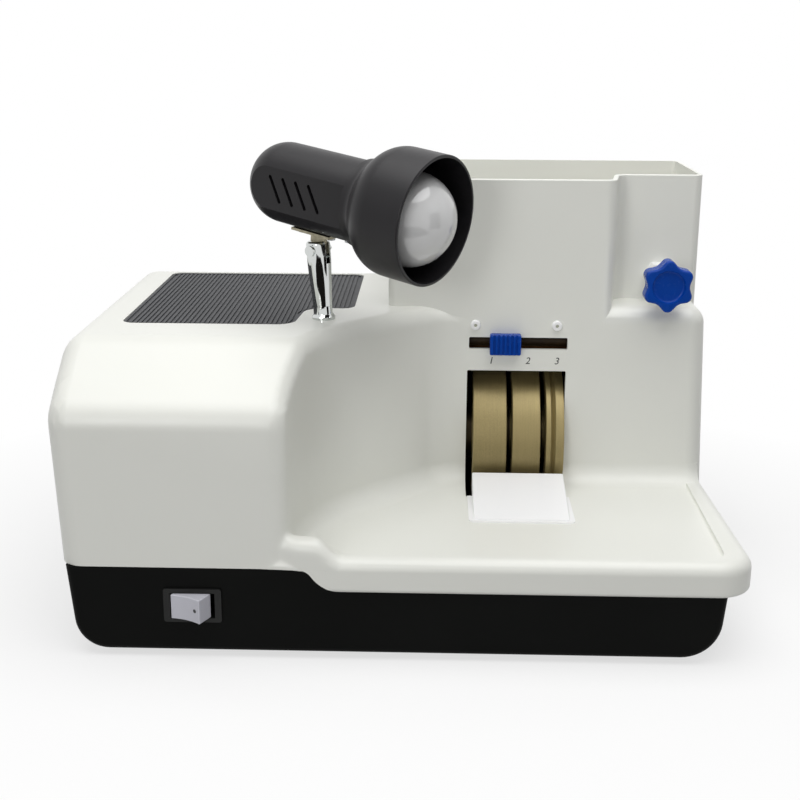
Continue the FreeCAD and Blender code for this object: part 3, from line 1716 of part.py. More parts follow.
def tap_outlet_y():
    return tank_back_front + tank_wall + seat_gap + tap_outlet_setback


def star_corners(tip, valley, tip_round, valley_round):
    """Six-lobed outline, one lobe up."""
    corners = []
    for number in range(knob_lobes * 2):
        angle = math.radians(90 + 180 * number / knob_lobes)
        radius = tip if number % 2 == 0 else valley
        rounding = tip_round if number % 2 == 0 else valley_round
        corners.append((tap_x + radius * math.cos(angle), tap_z + radius * math.sin(angle),
                        rounding))
    return corners


def tap_knob():
    """Star knob with a dished face and a neck towards the wall."""
    star = prism(star_corners(knob_tip_radius, knob_valley_radius, knob_tip_round,
                              knob_valley_round), on_xz, knob_front, knob_front + knob_length)
    star = star.makeFillet(knob_edge, [edge for edge in star.Edges
                                       if edge.BoundBox.YLength < fit_gap])
    dish = [
        (knob_front - overrun, 0, 0),
        (knob_front - overrun, knob_dish_radius, 0),
        (knob_front + knob_dish_depth, knob_dish_radius - knob_dish_depth / 2, knob_dish_round),
        (knob_front + knob_dish_depth, 0, 0),
    ]
    end = knob_front + knob_length
    neck = rod_y(knob_neck_radius, end - overrun, end + knob_neck, tap_x, tap_z)
    knob = joined([star, neck]).cut(turned_y(dish, tap_x, tap_z))
    bore = rod_y(tap_stem_radius + fit_gap, knob_front + knob_length / 2, end + knob_neck
                 + overrun, tap_x, tap_z)
    return knob.cut(bore)


def tap_stem():
    start = knob_front + knob_length / 2 + seat_gap
    end = tank_back_front + tank_wall + seat_gap + tap_outlet_setback + tap_outlet_radius
    stem = rod_y(tap_stem_radius, start, end, tap_x, tap_z)
    port = rod_z(tap_stem_radius / 2, tap_z - tap_stem_radius - overrun,
                 tap_z + tap_stem_radius + overrun, tap_x, tap_outlet_y())
    return stem.cut(port)


def tap_gland_nut():
    near = tank_back_front - gland_length
    body = prism(hexagon(gland_across, on_xz, tap_x, tap_z), on_xz, near, tank_back_front)
    return body.cut(rod_y(tap_stem_radius + fit_gap, near - overrun, tank_back_front + overrun,
                          tap_x, tap_z))


def tap_body():
    """Cock body on the tank's floor: inlet at its side, plug across, outlet down."""
    near = tank_back_front + tank_wall + seat_gap
    low = box_top + seat_gap
    half = tap_body_width / 2
    body = prism([
        (tap_x - half, near, 0),
        (tap_x + half, near, 0),
        (tap_x + half, near + tap_body_depth, tap_body_round),
        (tap_x - half, near + tap_body_depth, tap_body_round),
    ], on_xy, low, low + tap_body_height)
    outlet_y = tap_outlet_y()
    outlet = rod_z(tap_outlet_radius, box_top - tap_outlet_drop - cover_wall, low + overrun,
                   tap_x, outlet_y)
    body = joined([body, outlet])
    plug_bore = rod_y(tap_stem_radius + fit_gap, near - overrun,
                      near + tap_outlet_setback + tap_outlet_radius + seat_gap, tap_x, tap_z)
    down = rod_z(hose_bore, box_top - tap_outlet_drop - cover_wall - overrun, tap_z, tap_x,
                 outlet_y)
    port = rod_z(tap_port_radius / 2, tap_z, low + tap_body_height + overrun, tap_x, outlet_y)
    return body.cut([plug_bore, down, port])


def water_hose():
    """Soft hose from the cock's outlet to the rail's end, straight runs with one bend each."""
    start = V(tap_x, tap_outlet_y(), box_top - tap_outlet_drop - cover_wall)
    end = V(rail_end(), rail_y, rail_z)
    low = V(start.x, start.y, rail_z - hose_bend / 2)
    turn = V(rail_end() + hose_bend, rail_y, rail_z)
    points = [start, low, turn, end]
    edges = []
    place = start
    for number in (1, 2):
        before, corner, after = points[number - 1], points[number], points[number + 1]
        run_in = (corner - before).Length
        run_out = (after - corner).Length
        half_angle = (before - corner).getAngle(after - corner) / 2
        reach = min(run_in, run_out) * hose_share
        radius = reach * math.tan(half_angle)
        begin, middle, finish = corner_points(before, corner, after, radius)
        edges.append(Part.LineSegment(place, begin).toShape())
        edges.append(Part.Arc(begin, middle, finish).toShape())
        place = finish
    edges.append(Part.LineSegment(place, end).toShape())
    path = Part.Wire(edges)
    ring = Part.Wire([Part.Circle(start, V(0, 0, 1), hose_radius).toShape()])
    bore = Part.Wire([Part.Circle(start, V(0, 0, 1), hose_bore).toShape()])
    return path.makePipeShell([ring], True, False).cut(path.makePipeShell([bore], True, False))


# Lamp post

def leaning(shape):
    """Turns a shape built upright on the post's foot into the post's lean."""
    leaned = shape.copy()
    leaned.rotate(post_foot, V(0, 1, 0), -post_lean)
    return leaned


def lamp_foot():
    """Fixed foot with the spigot bore, its shank through the cover."""
    level = box_top
    profile = [
        (level - post_foot_band, post_spigot_radius + fit_gap, 0),
        (level - post_foot_band, post_foot_radius, 0),
        (level + post_foot_band, post_foot_radius, overrun),
        (level + post_foot_height, post_neck_radius, 0),
        (level + post_foot_height, post_spigot_radius + fit_gap, 0),
    ]
    collar = leaning(turned_z(profile, post_x, post_y))
    reach = post_foot_radius * 2
    above = block(post_x - reach, post_x + reach, post_y - reach, post_y + reach, level,
                  level + reach)
    bottom = level - post_shank_length
    shank = rod_z(post_shank_radius, bottom, level + overrun, post_x, post_y)
    spigot_hole = leaning(rod_z(post_spigot_radius + fit_gap, level, level + reach, post_x,
                                post_y))
    wire_hole = rod_z(post_spigot_radius / 2, bottom - overrun, level + overrun * 2,
                      post_x, post_y)
    return joined([collar.common(above), shank]).cut(spigot_hole).cut(wire_hole)


def lamp_post():
    """Turned post with the slot for the lamp's tongue; its spigot turns in the foot."""
    level = box_top
    top = level + post_height
    low = level + post_foot_height + fit_gap
    profile = [
        (low - post_spigot_length, 0, 0),
        (low - post_spigot_length, post_spigot_radius, 0),
        (low, post_spigot_radius, 0),
        (low, post_neck_radius, 0),
        (level + post_flare_start, post_neck_radius, post_foot_height),
        (level + post_flare_end, post_head_radius, post_foot_height),
        (top, post_head_radius, post_head_round),
        (top, 0, 0),
    ]
    post = turned_z(profile, post_x, post_y)
    half = post_slot_width / 2
    reach = post_head_radius + overrun
    slot = block(post_x - reach, post_x + reach, post_y - half, post_y + half,
                 top - post_slot_depth, top + overrun)
    pivot_z = top - post_pivot_drop
    bore = rod_y(pivot_radius + fit_gap, post_y - reach, post_y + reach, post_x, pivot_z)
    cutters = Part.makeCompound([slot, bore])
    cutters.rotate(V(post_x, post_y, 0), V(0, 0, 1), lamp_heading)
    return leaning(post.cut(cutters))


def pivot_screw():
    """Cross screw of the post's slot, with a head at one end and a nut at the other."""
    pivot_z = box_top + post_height - post_pivot_drop
    reach = post_head_radius
    shank = rod_y(pivot_radius, post_y - reach, post_y + reach, post_x, pivot_z)
    head = rod_y(pivot_head_radius, post_y - reach - pivot_head, post_y - reach, post_x, pivot_z)
    nut = prism(hexagon(pivot_head_radius * math.sqrt(3), on_xz, post_x, pivot_z), on_xz,
                post_y + reach, post_y + reach + pivot_head)
    screw = joined([shank, head, nut])
    screw.rotate(V(post_x, post_y, 0), V(0, 0, 1), lamp_heading)
    return leaning(screw)


def lamp_foot_nut():
    high = ceiling - seat_gap
    body = prism(hexagon(post_nut_across, on_xy, post_x, post_y), on_xy, high - post_nut_length,
                 high)
    return body.cut(rod_z(post_shank_radius + fit_gap, high - post_nut_length - overrun,
                          high + overrun, post_x, post_y))


# Lamp head

def on_lamp(shape):
    """Turns and tilts a shape from the lamp's own axis into place over the pivot."""
    placed = shape.copy()
    placed.rotate(V(0, 0, -lamp_rise), V(0, 1, 0), lamp_tilt)
    placed.rotate(V(0, 0, 0), V(0, 0, 1), lamp_heading)
    placed.translate(pivot_point + V(0, 0, lamp_rise))
    placed.rotate(pivot_point, V(0, 1, 0), -post_lean)
    return placed


def barrel_form(inset):
    """Round barrel with a domed rear end and two flat side panels."""
    radius = barrel_radius - inset
    rear = -barrel_rear + inset
    profile = [
        (rear, 0, 0),
        (rear, radius, barrel_dome - inset),
        (barrel_front + (overrun if inset else 0), radius, 0),
        (barrel_front + (overrun if inset else 0), 0, 0),
    ]
    form = turned_x(profile, 0, 0)
    flat = barrel_flat - inset
    reach = barrel_radius + overrun
    sides = []
    for side in (-1, 1):
        near, far = side * flat, side * reach
        sides.append(block(-barrel_rear - overrun, barrel_flat_front, min(near, far),
                           max(near, far), -reach, reach))
    return form.cut(sides)


def lamp_barrel():
    shell = barrel_form(0).cut(barrel_form(barrel_wall))
    vents = []
    reach = barrel_radius + overrun
    for number in range(vent_count):
        x = -vent_first + vent_pitch * number
        half = vent_width / 2
        vent = rounded_block_y(x - half, x + half, -vent_length / 2, vent_length / 2,
                               half - fit_gap, -reach, reach)
        vent.rotate(V(x, 0, 0), V(0, 1, 0), vent_angle - 90)
        vents.append(vent)
    screw_bore = rod_z(lamp_screw_radius + fit_gap, -reach, 0, 0, 0)
    for x in lamp_screw_places():
        bore = screw_bore.copy()
        bore.translate(V(x, 0, 0))
        vents.append(bore)
    return on_lamp(shell.cut(vents))


def lamp_screw_places():
    return -plate_rear + lamp_screw_inset, plate_front - lamp_screw_inset, shade_screw_place


def bowl_form(inset, front):
    """Turned form of the shade: neck, hollow blend, round bowl and straight band."""
    neck = barrel_radius + shade_wall - inset
    band = shade_radius - inset
    start = barrel_front - shade_neck_length
    profile = [
        (start, 0, 0),
        (start, neck, 0),
        (shade_bowl_start, neck, shade_neck_round + inset),
        (shade_bowl_start + band - neck, band, shade_bowl_round - inset),
        (front, band, 0),
        (front, 0, 0),
    ]
    return turned_x(profile, 0, 0)


def lamp_shade():
    """Bowl-shaped shade with a collar over the barrel's front."""
    shade = bowl_form(0, shade_front)
    shade = rounded_edges(shade, shade_rim_round, lambda edge: lies_at(edge, 0, shade_front))
    inner = bowl_form(shade_wall, shade_front + overrun)
    socket = rod_x(barrel_radius + fit_gap, barrel_front - shade_neck_length - overrun,
                   barrel_front + overrun, 0, 0)
    return on_lamp(shade.cut([inner, socket]))


def lamp_socket():
    """Screw socket with a flange that seats in the barrel."""
    flange_radius = barrel_flat - barrel_wall - seat_gap
    bore = bulb_cap_radius + fit_gap * 2
    profile = [
        (-socket_rear, 0, 0),
        (-socket_rear, socket_radius - socket_wall, 0),
        (-socket_rear + socket_wall, socket_radius, 0),
        (socket_front - socket_flange, socket_radius, 0),
        (socket_front - socket_flange, flange_radius, 0),
        (socket_front, flange_radius, 0),
        (socket_front, bore, 0),
        (-socket_rear + socket_wall, bore, 0),
        (-socket_rear + socket_wall, 0, 0),
    ]
    return on_lamp(turned_x(profile, 0, -bulb_drop))


def bulb_cap_start():
    return bulb_neck - bulb_cap_length - fit_gap


def bulb_form(inset):
    """Turned form of the bulb's glass, moved in by inset and open at the cap."""
    axis = -bulb_drop
    radius = bulb_radius - inset
    start = bulb_neck - (overrun if inset else 0)
    tip = V(bulb_centre + radius, 0, axis)
    joint_angle = math.radians(bulb_shoulder_angle)
    joint = V(bulb_centre - radius * math.cos(joint_angle), 0,
              axis + radius * math.sin(joint_angle))
    middle_angle = (math.pi + joint_angle) / 2
    arc_middle = V(bulb_centre - radius * math.cos(middle_angle), 0,
                   axis + radius * math.sin(middle_angle))
    neck = V(start, 0, axis + bulb_cap_radius - inset)
    bend = (neck + joint) / 2 - V(0, 0, bulb_neck_hollow)
    edges = [
        Part.LineSegment(V(start, 0, axis), neck).toShape(),
        Part.Arc(neck, bend, joint).toShape(),
        Part.Arc(joint, arc_middle, tip).toShape(),
        Part.LineSegment(tip, V(start, 0, axis)).toShape(),
    ]
    return Part.Face(Part.Wire(edges)).revolve(V(0, 0, axis), V(1, 0, 0), 360)


def bulb_glass():
    """Opal bulb: a thin round envelope with a neck that tapers into its cap."""
    return on_lamp(bulb_form(0).cut(bulb_form(bulb_wall)))


def bulb_cap():
    """Thin screw cap with its contact end closed."""
    start = bulb_cap_start()
    contact = bulb_cap_radius / 3
    outer = [
        (start, 0, 0),
        (start, contact, 0),
        (start + bulb_cap_taper, bulb_cap_radius, 0),
        (bulb_neck, bulb_cap_radius, 0),
        (bulb_neck, 0, 0),
    ]
    inner = [
        (start + bulb_wall * 2, 0, 0),
        (start + bulb_wall * 2, contact, 0),
        (start + bulb_cap_taper + bulb_wall, bulb_cap_radius - bulb_wall, 0),
        (bulb_neck + overrun, bulb_cap_radius - bulb_wall, 0),
        (bulb_neck + overrun, 0, 0),
    ]
    cap = turned_x(outer, 0, -bulb_drop)
    return on_lamp(cap.cut(turned_x(inner, 0, -bulb_drop)))


def lamp_bracket():
    """Bright plate under the barrel with the tongue for the post's slot."""
    top = -barrel_radius - plate_gap
    plate = block(-plate_rear, plate_front, -plate_width / 2, plate_width / 2,
                  top - plate_sheet, top)
    half = tongue_width / 2
    tongue = block(-half, half, -tongue_sheet / 2, tongue_sheet / 2, -lamp_rise, top)
    end = rod_y(half, -tongue_sheet / 2, tongue_sheet / 2, 0, -lamp_rise)
    bracket = joined([plate, tongue, end])
    cuts = [rod_y(pivot_radius + fit_gap, -tongue_sheet, tongue_sheet, 0, -lamp_rise)]
    for x in lamp_screw_places()[:2]:
        cuts.append(rod_z(lamp_screw_radius + fit_gap, top - plate_sheet - overrun,
                          top + overrun, x, 0))
    return on_lamp(bracket.cut(cuts))


def lamp_screws():
    """Two screws for the bracket and one that holds the shade's collar."""
    screws = []
    inner = -barrel_radius + barrel_wall + overrun
    for number, x in enumerate(lamp_screw_places()):
        seat = -barrel_radius
        if number < 2:
            seat = -barrel_radius - plate_gap - plate_sheet
        head = rod_z(lamp_screw_head_radius, seat - lamp_screw_head, seat, x, 0)
        shank = rod_z(lamp_screw_radius, seat - lamp_screw_head / 2, inner, x, 0)
        screws.append(head.fuse(shank).removeSplitter())
    return on_lamp(Part.makeCompound(screws))


# Switch

def rocker_pivot_y():
    return tub_front + rocker_pivot_depth


def switch_bezel():
    """Switch body with its flange, snapped into the tub's front."""
    flange = rounded_block_y(switch_x - bezel_width / 2, switch_x + bezel_width / 2,
                             switch_z - bezel_height / 2, switch_z + bezel_height / 2,
                             bezel_round, tub_front - bezel_flange, tub_front)
    body = block(switch_x - switch_body_width / 2, switch_x + switch_body_width / 2, tub_front,
                 tub_front + switch_body_depth, switch_z - switch_body_height / 2,
                 switch_z + switch_body_height / 2)
    hollow = block(switch_x - rocker_opening / 2, switch_x + rocker_opening / 2,
                   tub_front - bezel_flange - overrun,
                   tub_front + switch_body_depth - switch_wall * 4,
                   switch_z - rocker_height / 2 - rocker_side_gap,
                   switch_z + rocker_height / 2 + rocker_side_gap)
    reach = rocker_height / 2 + rocker_side_gap + switch_wall / 2
    pin_bore = rod_z(rocker_pin_radius + fit_gap, switch_z - reach, switch_z + reach, switch_x,
                     rocker_pivot_y())
    return joined([flange, body]).cut([hollow, pin_bore])


def switch_rocker():
    """Rocker with a hollow face; it turns on two moulded pins."""
    pivot = rocker_pivot_y()
    half = rocker_width / 2
    low = switch_z - rocker_height / 2
    left_end = V(switch_x - half, pivot - rocker_face, low)
    right_end = V(switch_x + half, pivot - rocker_face, low)
    middle = V(switch_x, pivot - rocker_face + rocker_hollow, low)
    back_left = V(switch_x - half - rocker_flare, pivot + rocker_back, low)
    back_right = V(switch_x + half + rocker_flare, pivot + rocker_back, low)
    edges = [
        Part.Arc(left_end, middle, right_end).toShape(),
        Part.LineSegment(right_end, back_right).toShape(),
        Part.LineSegment(back_right, back_left).toShape(),
        Part.LineSegment(back_left, left_end).toShape(),
    ]
    body = Part.Face(Part.Wire(edges)).extrude(V(0, 0, rocker_height))
    body = rounded_edges(body, rocker_edge, lambda edge: edge.BoundBox.YMax < pivot + rocker_back
                         - fit_gap or edge.BoundBox.YLength > rocker_face)
    reach = rocker_height / 2 + rocker_side_gap + switch_wall / 4
    pin = rod_z(rocker_pin_radius, switch_z - reach, switch_z + reach, switch_x, pivot)
    rocker = joined([body, pin])
    rocker.rotate(V(switch_x, pivot, 0), V(0, 0, 1), rocker_rest)
    return rocker


# Electrical parts

def power_inlet():
    """Appliance inlet in the tub's back, with a cavity for the plug."""
    flange = rounded_block_y(inlet_x - inlet_width / 2, inlet_x + inlet_width / 2,
                             inlet_z - inlet_height / 2, inlet_z + inlet_height / 2, inlet_round,
                             tub_back, tub_back + inlet_flange)
    body = rounded_block_y(inlet_x - inlet_body_width / 2, inlet_x + inlet_body_width / 2,
                           inlet_z - inlet_body_height / 2, inlet_z + inlet_body_height / 2,
                           inlet_round, tub_back - inlet_depth, tub_back)
    hollow = rounded_block_y(inlet_x - inlet_body_width / 2 + inlet_wall,
                             inlet_x + inlet_body_width / 2 - inlet_wall,
                             inlet_z - inlet_body_height / 2 + inlet_wall,
                             inlet_z + inlet_body_height / 2 - inlet_wall, inlet_round,
                             tub_back - inlet_depth + inlet_floor, tub_back + inlet_flange
                             + overrun)
    return joined([flange, body]).cut(hollow)


def inlet_pins():
    low = tub_back - inlet_depth + inlet_floor
    pins = []
    for step in (-1, 0, 1):
        x = inlet_x + step * inlet_pin_pitch
        z = inlet_z + (inlet_pin_rise if step == 0 else 0)
        pins.append(block(x - inlet_pin_sheet / 2, x + inlet_pin_sheet / 2, low,
                          low + inlet_pin_length, z - inlet_pin_width / 2,
                          z + inlet_pin_width / 2))
    return Part.makeCompound(pins)


def capacitor_level():
    return tub_floor + clamp_sheet + capacitor_radius


def run_capacitor():
    z = capacitor_level()
    start = capacitor_y - capacitor_length / 2
    end = capacitor_y + capacitor_length / 2
    profile = [
        (start, 0, 0),
        (start, capacitor_radius, capacitor_round),
        (end, capacitor_radius, capacitor_round),
        (end, 0, 0),
    ]
    return turned_y(profile, capacitor_x, z)


def capacitor_clamp():
    """Strap round the capacitor with a foot on the tub's floor."""
    z = capacitor_level()
    start = capacitor_y - clamp_width / 2
    end = capacitor_y + clamp_width / 2
    outer = capacitor_radius + clamp_sheet
    strap = rod_y(outer, start, end, capacitor_x, z)
    foot = block(capacitor_x - outer - clamp_ear, capacitor_x + outer + clamp_ear, start, end,
                 tub_floor, tub_floor + clamp_sheet)
    foot = foot.common(block(capacitor_x, capacitor_x + outer + clamp_ear, start, end, 0,
                             box_top))
    return joined([strap, foot]).cut(rod_y(capacitor_radius + fit_gap, start - overrun,
                                           end + overrun, capacitor_x, z))


def terminal_block():
    half = terminal_width / 2
    near = terminal_y - terminal_length / 2
    far = terminal_y + terminal_length / 2
    corners = [
        (terminal_x - half, tub_floor, 0),
        (terminal_x + half, tub_floor, 0),
        (terminal_x + half, tub_floor + terminal_height - terminal_step, 0),
        (terminal_x + half - terminal_step, tub_floor + terminal_height, 0),
        (terminal_x - half + terminal_step, tub_floor + terminal_height, 0),
        (terminal_x - half, tub_floor + terminal_height - terminal_step, 0),
    ]
    body = prism(corners, on_xz, near, far)
    pitch = terminal_length / terminal_ports
    for number in range(terminal_ports):
        y = near + pitch * (number + 1 / 2)
        body = body.cut(rod_z(terminal_port_radius, tub_floor + terminal_height
                              - terminal_step, tub_floor + terminal_height + overrun,
                              terminal_x, y))
        body = body.cut(rod_x(terminal_port_radius, terminal_x - half - overrun,
                              terminal_x + half + overrun, y, tub_floor + terminal_step))
    return body


NODES = {
    "base_tub": base_tub,
    "rubber_feet": rubber_feet,
    "feet_screws": feet_screws,
    "cover_screws": cover_screws,
    "upper_cover": upper_cover,
    "tray_mat": tray_mat,
    "motor_shell": motor_shell,
    "motor_bell_rear": motor_bell_rear,
    "motor_bell_front": motor_bell_front,
    "stator_core": stator_core,
    "stator_windings": stator_windings,
    "motor_tie_rods": motor_tie_rods,
    "motor_cradle": motor_cradle,
    "cradle_bolts": cradle_bolts,
    "bearing_outer_rings": bearing_outer_rings,
    "bearing_inner_rings": bearing_inner_rings,
    "spindle_shaft": spindle_shaft,
    "rotor": rotor,
    "cooling_fan": cooling_fan,
    "slinger": slinger,
    "inner_flange": inner_flange,
    "wheel_rough": lambda: wheel(wheels_left, rough_width),
    "wheel_fine": lambda: wheel(fine_left, fine_width),
    "wheel_bevel": wheel_bevel,
    "wheel_spacers": wheel_spacers,
    "clamp_flange": clamp_flange,
    "spindle_nut": spindle_nut,
    "wheel_chamber": wheel_chamber,
    "shaft_seal": shaft_seal,
    "drain_spigot": drain_spigot,
    "splash_hood": splash_hood,
    "lens_rest": lens_rest,
    "guide_bracket": guide_bracket,
    "guide_screws": guide_screws,
    "water_rail": water_rail,
    "nozzle_carriage": nozzle_carriage,
    "slider_cap": slider_cap,
    "tap_knob": tap_knob,
    "tap_stem": tap_stem,
    "tap_gland_nut": tap_gland_nut,
    "tap_body": tap_body,
    "water_hose": water_hose,
    "lamp_foot": lamp_foot,
    "lamp_foot_nut": lamp_foot_nut,
    "lamp_post": lamp_post,
    "pivot_screw": pivot_screw,
    "lamp_bracket": lamp_bracket,
    "lamp_screws": lamp_screws,
    "lamp_barrel": lamp_barrel,
    "lamp_shade": lamp_shade,
    "lamp_socket": lamp_socket,
    "bulb_glass": bulb_glass,
    "bulb_cap": bulb_cap,
    "switch_bezel": switch_bezel,
    "switch_rocker": switch_rocker,
    "power_inlet": power_inlet,
    "inlet_pins": inlet_pins,
    "run_capacitor": run_capacitor,
    "capacitor_clamp": capacitor_clamp,
    "terminal_block": terminal_block,
}


def main():
    os.makedirs("parts", exist_ok=True)
    for name, make in NODES.items():
        shape = make()
        solids = len(shape.Solids)
        print(f"{name}: {solids} solids, {shape.Volume:.0f} mm3, valid {shape.isValid()}")
        shape.exportStep(f"parts/{name}.step")


if __name__ == "__main__":
    main()
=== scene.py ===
"""Looks of the hand lens edger: finishes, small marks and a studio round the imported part.

Metres, in the part's own frame. X runs to the operator's right, Y away and Z up.
"""

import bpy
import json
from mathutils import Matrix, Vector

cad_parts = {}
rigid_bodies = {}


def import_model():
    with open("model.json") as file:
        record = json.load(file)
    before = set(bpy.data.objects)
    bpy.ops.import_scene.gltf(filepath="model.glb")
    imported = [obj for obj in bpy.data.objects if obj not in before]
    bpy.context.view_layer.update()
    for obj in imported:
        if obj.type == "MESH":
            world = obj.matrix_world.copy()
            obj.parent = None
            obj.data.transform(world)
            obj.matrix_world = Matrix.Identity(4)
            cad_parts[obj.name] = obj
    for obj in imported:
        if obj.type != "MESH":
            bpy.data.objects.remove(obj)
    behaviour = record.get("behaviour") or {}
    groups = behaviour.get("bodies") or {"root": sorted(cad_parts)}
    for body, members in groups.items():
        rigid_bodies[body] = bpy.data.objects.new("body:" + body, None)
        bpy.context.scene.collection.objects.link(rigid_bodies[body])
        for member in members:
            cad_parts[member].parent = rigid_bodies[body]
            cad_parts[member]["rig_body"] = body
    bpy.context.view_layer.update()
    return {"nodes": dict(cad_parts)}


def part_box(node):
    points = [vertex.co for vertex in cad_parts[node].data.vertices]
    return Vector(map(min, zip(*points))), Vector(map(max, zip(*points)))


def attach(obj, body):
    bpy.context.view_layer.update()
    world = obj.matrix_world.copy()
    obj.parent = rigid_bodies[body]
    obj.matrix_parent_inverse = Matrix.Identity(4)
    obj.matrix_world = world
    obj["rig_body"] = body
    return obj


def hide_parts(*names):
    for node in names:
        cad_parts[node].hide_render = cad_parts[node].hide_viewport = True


bl_info = {
    "name": "Lens Edger Looks",
    "version": (1, 0, 0),
    "blender": (4, 5, 0),
    "location": "3D View > Sidebar > Lens Edger",
    "description": "Dresses the packed lens edger and sets it in a plain studio",
    "category": "Object",
}

import json
import math

import bpy
from mathutils import Matrix, Vector

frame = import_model()
MM = 0.001


# Sizes and colours that a user would change

class StudioSettings(bpy.types.PropertyGroup):
    """Camera, lamps and floor."""
    camera_place: bpy.props.FloatVectorProperty(
        name="Camera Place", description="Where the camera stands", subtype="XYZ",
        unit="LENGTH", default=(0.0164, -0.82625, 0.3602))
    camera_yaw: bpy.props.FloatProperty(
        name="Camera Yaw", description="Turn to the left", subtype="ANGLE", default=0.027)
    camera_pitch: bpy.props.FloatProperty(
        name="Camera Pitch", description="Tilt downwards", subtype="ANGLE", default=0.282)
    camera_roll: bpy.props.FloatProperty(
        name="Camera Roll", description="Turn about the line of sight", subtype="ANGLE",
        default=0.005)
    camera_lens: bpy.props.FloatProperty(
        name="Focal Length", description="Focal length on a 36 mm sensor", default=58.05,
        min=10, max=300)
    top_power: bpy.props.FloatProperty(
        name="Top Lamp Power", description="Soft lamp over the object", unit="POWER",
        default=14.9, min=0)
    front_power: bpy.props.FloatProperty(
        name="Front Lamp Power", description="Soft lamp by the camera", unit="POWER",
        default=3.1, min=0)
    surround: bpy.props.FloatProperty(
        name="Surround Light", description="Level of the white surround", default=0.22, min=0,
        max=2)
    floor_colour: bpy.props.FloatVectorProperty(
        name="Floor Colour", description="Floor as it lights the object", subtype="COLOR",
        size=3, min=0, max=1, default=(0.50, 0.50, 0.50))
    floor_seen: bpy.props.FloatVectorProperty(
        name="Floor Seen", description="Floor as the camera sees it", subtype="COLOR", size=3,
        min=0, max=1, default=(0.90, 0.90, 0.90))
    card_colour: bpy.props.FloatVectorProperty(
        name="Card Colour", description="Dark cards that bright metal reflects",
        subtype="COLOR", size=3, min=0, max=1, default=(0.012, 0.011, 0.010))


class FinishSettings(bpy.types.PropertyGroup):
    """Colours of the main finishes."""
    ivory: bpy.props.FloatVectorProperty(
        name="Ivory", description="Housing, table and tank", subtype="COLOR", size=3, min=0,
        max=1, default=(0.800, 0.805, 0.755))
    black: bpy.props.FloatVectorProperty(
        name="Black", description="Base tub and switch frame", subtype="COLOR", size=3, min=0,
        max=1, default=(0.0028, 0.0030, 0.0027))
    mat: bpy.props.FloatVectorProperty(
        name="Mat", description="Ribbed tray mat", subtype="COLOR", size=3, min=0, max=1,
        default=(0.030, 0.031, 0.034))
    blue: bpy.props.FloatVectorProperty(
        name="Blue", description="Slider cap and tap knob", subtype="COLOR", size=3, min=0,
        max=1, default=(0.0004, 0.050, 0.350))
    lamp: bpy.props.FloatVectorProperty(
        name="Lamp Black", description="Lamp's barrel and shade", subtype="COLOR", size=3,
        min=0, max=1, default=(0.0098, 0.0090, 0.0104))
    opal: bpy.props.FloatVectorProperty(
        name="Opal", description="Bulb's glass", subtype="COLOR", size=3, min=0, max=1,
        default=(0.66, 0.66, 0.66))
    grit: bpy.props.FloatVectorProperty(
        name="Grit", description="Bonded grit of the wheels", subtype="COLOR", size=3, min=0,
        max=1, default=(0.290, 0.230, 0.100))


class PostSettings(bpy.types.PropertyGroup):
    """The lamp's turned post."""
    foot_level: bpy.props.FloatProperty(
        name="Foot Level", description="Top of the motor box", unit="LENGTH", default=0.183)
    foot_radius: bpy.props.FloatProperty(
        name="Foot Radius", description="Collar on the motor box", unit="LENGTH",
        default=0.0073, min=0.001)
    foot_height: bpy.props.FloatProperty(
        name="Foot Height", description="Where the collar ends and the post turns",
        unit="LENGTH", default=0.0085, min=0.001)
    neck_radius: bpy.props.FloatProperty(
        name="Neck Radius", description="Post just over its collar", unit="LENGTH",
        default=0.0060, min=0.001)
    head_radius: bpy.props.FloatProperty(
        name="Head Radius", description="Post at its slot", unit="LENGTH", default=0.0075,
        min=0.001)
    height: bpy.props.FloatProperty(
        name="Height", description="Post and collar over the box", unit="LENGTH",
        default=0.0495, min=0.01)
    slot_width: bpy.props.FloatProperty(
        name="Slot Width", description="Slot for the lamp's tongue", unit="LENGTH",
        default=0.0034, min=0.0005)
    slot_depth: bpy.props.FloatProperty(
        name="Slot Depth", description="Depth of that slot", unit="LENGTH", default=0.014,
        min=0.001)
    lean: bpy.props.FloatProperty(
        name="Lean", description="Tilt of the post to the left", subtype="ANGLE",
        default=math.radians(3.6))
    heading: bpy.props.FloatProperty(
        name="Heading", description="Way that the slot faces", subtype="ANGLE",
        default=math.radians(-34.9))


class TableEndSettings(bpy.types.PropertyGroup):
    """Left end of the table's rim, which swells up into the motor box."""
    start: bpy.props.FloatProperty(
        name="Start", description="Where the rim begins to rise, along X", unit="LENGTH",
        default=-0.0350)
    full: bpy.props.FloatProperty(
        name="Full Height", description="Where it is fully raised", unit="LENGTH",
        default=-0.0515)
    finish: bpy.props.FloatProperty(
        name="Finish", description="Where it dies away in the box's corner", unit="LENGTH",
        default=-0.0765)
    front: bpy.props.FloatProperty(
        name="Front", description="Front face of the lip, along Y", unit="LENGTH",
        default=-0.13985)
    rim_level: bpy.props.FloatProperty(
        name="Rim Level", description="Top of the rim", unit="LENGTH", default=0.0645)
    rise: bpy.props.FloatProperty(
        name="Rise", description="How far the rim rises", unit="LENGTH", default=0.0110)
    front_round: bpy.props.FloatProperty(
        name="Front Round", description="Radius over the lip", unit="LENGTH", default=0.0075,
        min=0.001)
    back_round: bpy.props.FloatProperty(
        name="Back Round", description="Radius towards the table's floor", unit="LENGTH",
        default=0.0035, min=0.001)
    grain: bpy.props.FloatProperty(
        name="Grain", description="Size of the mesh's faces", unit="LENGTH", default=0.0006,
        min=0.0003)
    rounds: bpy.props.IntProperty(
        name="Smoothing Rounds", description="How often the end is smoothed", default=110,
        min=1)


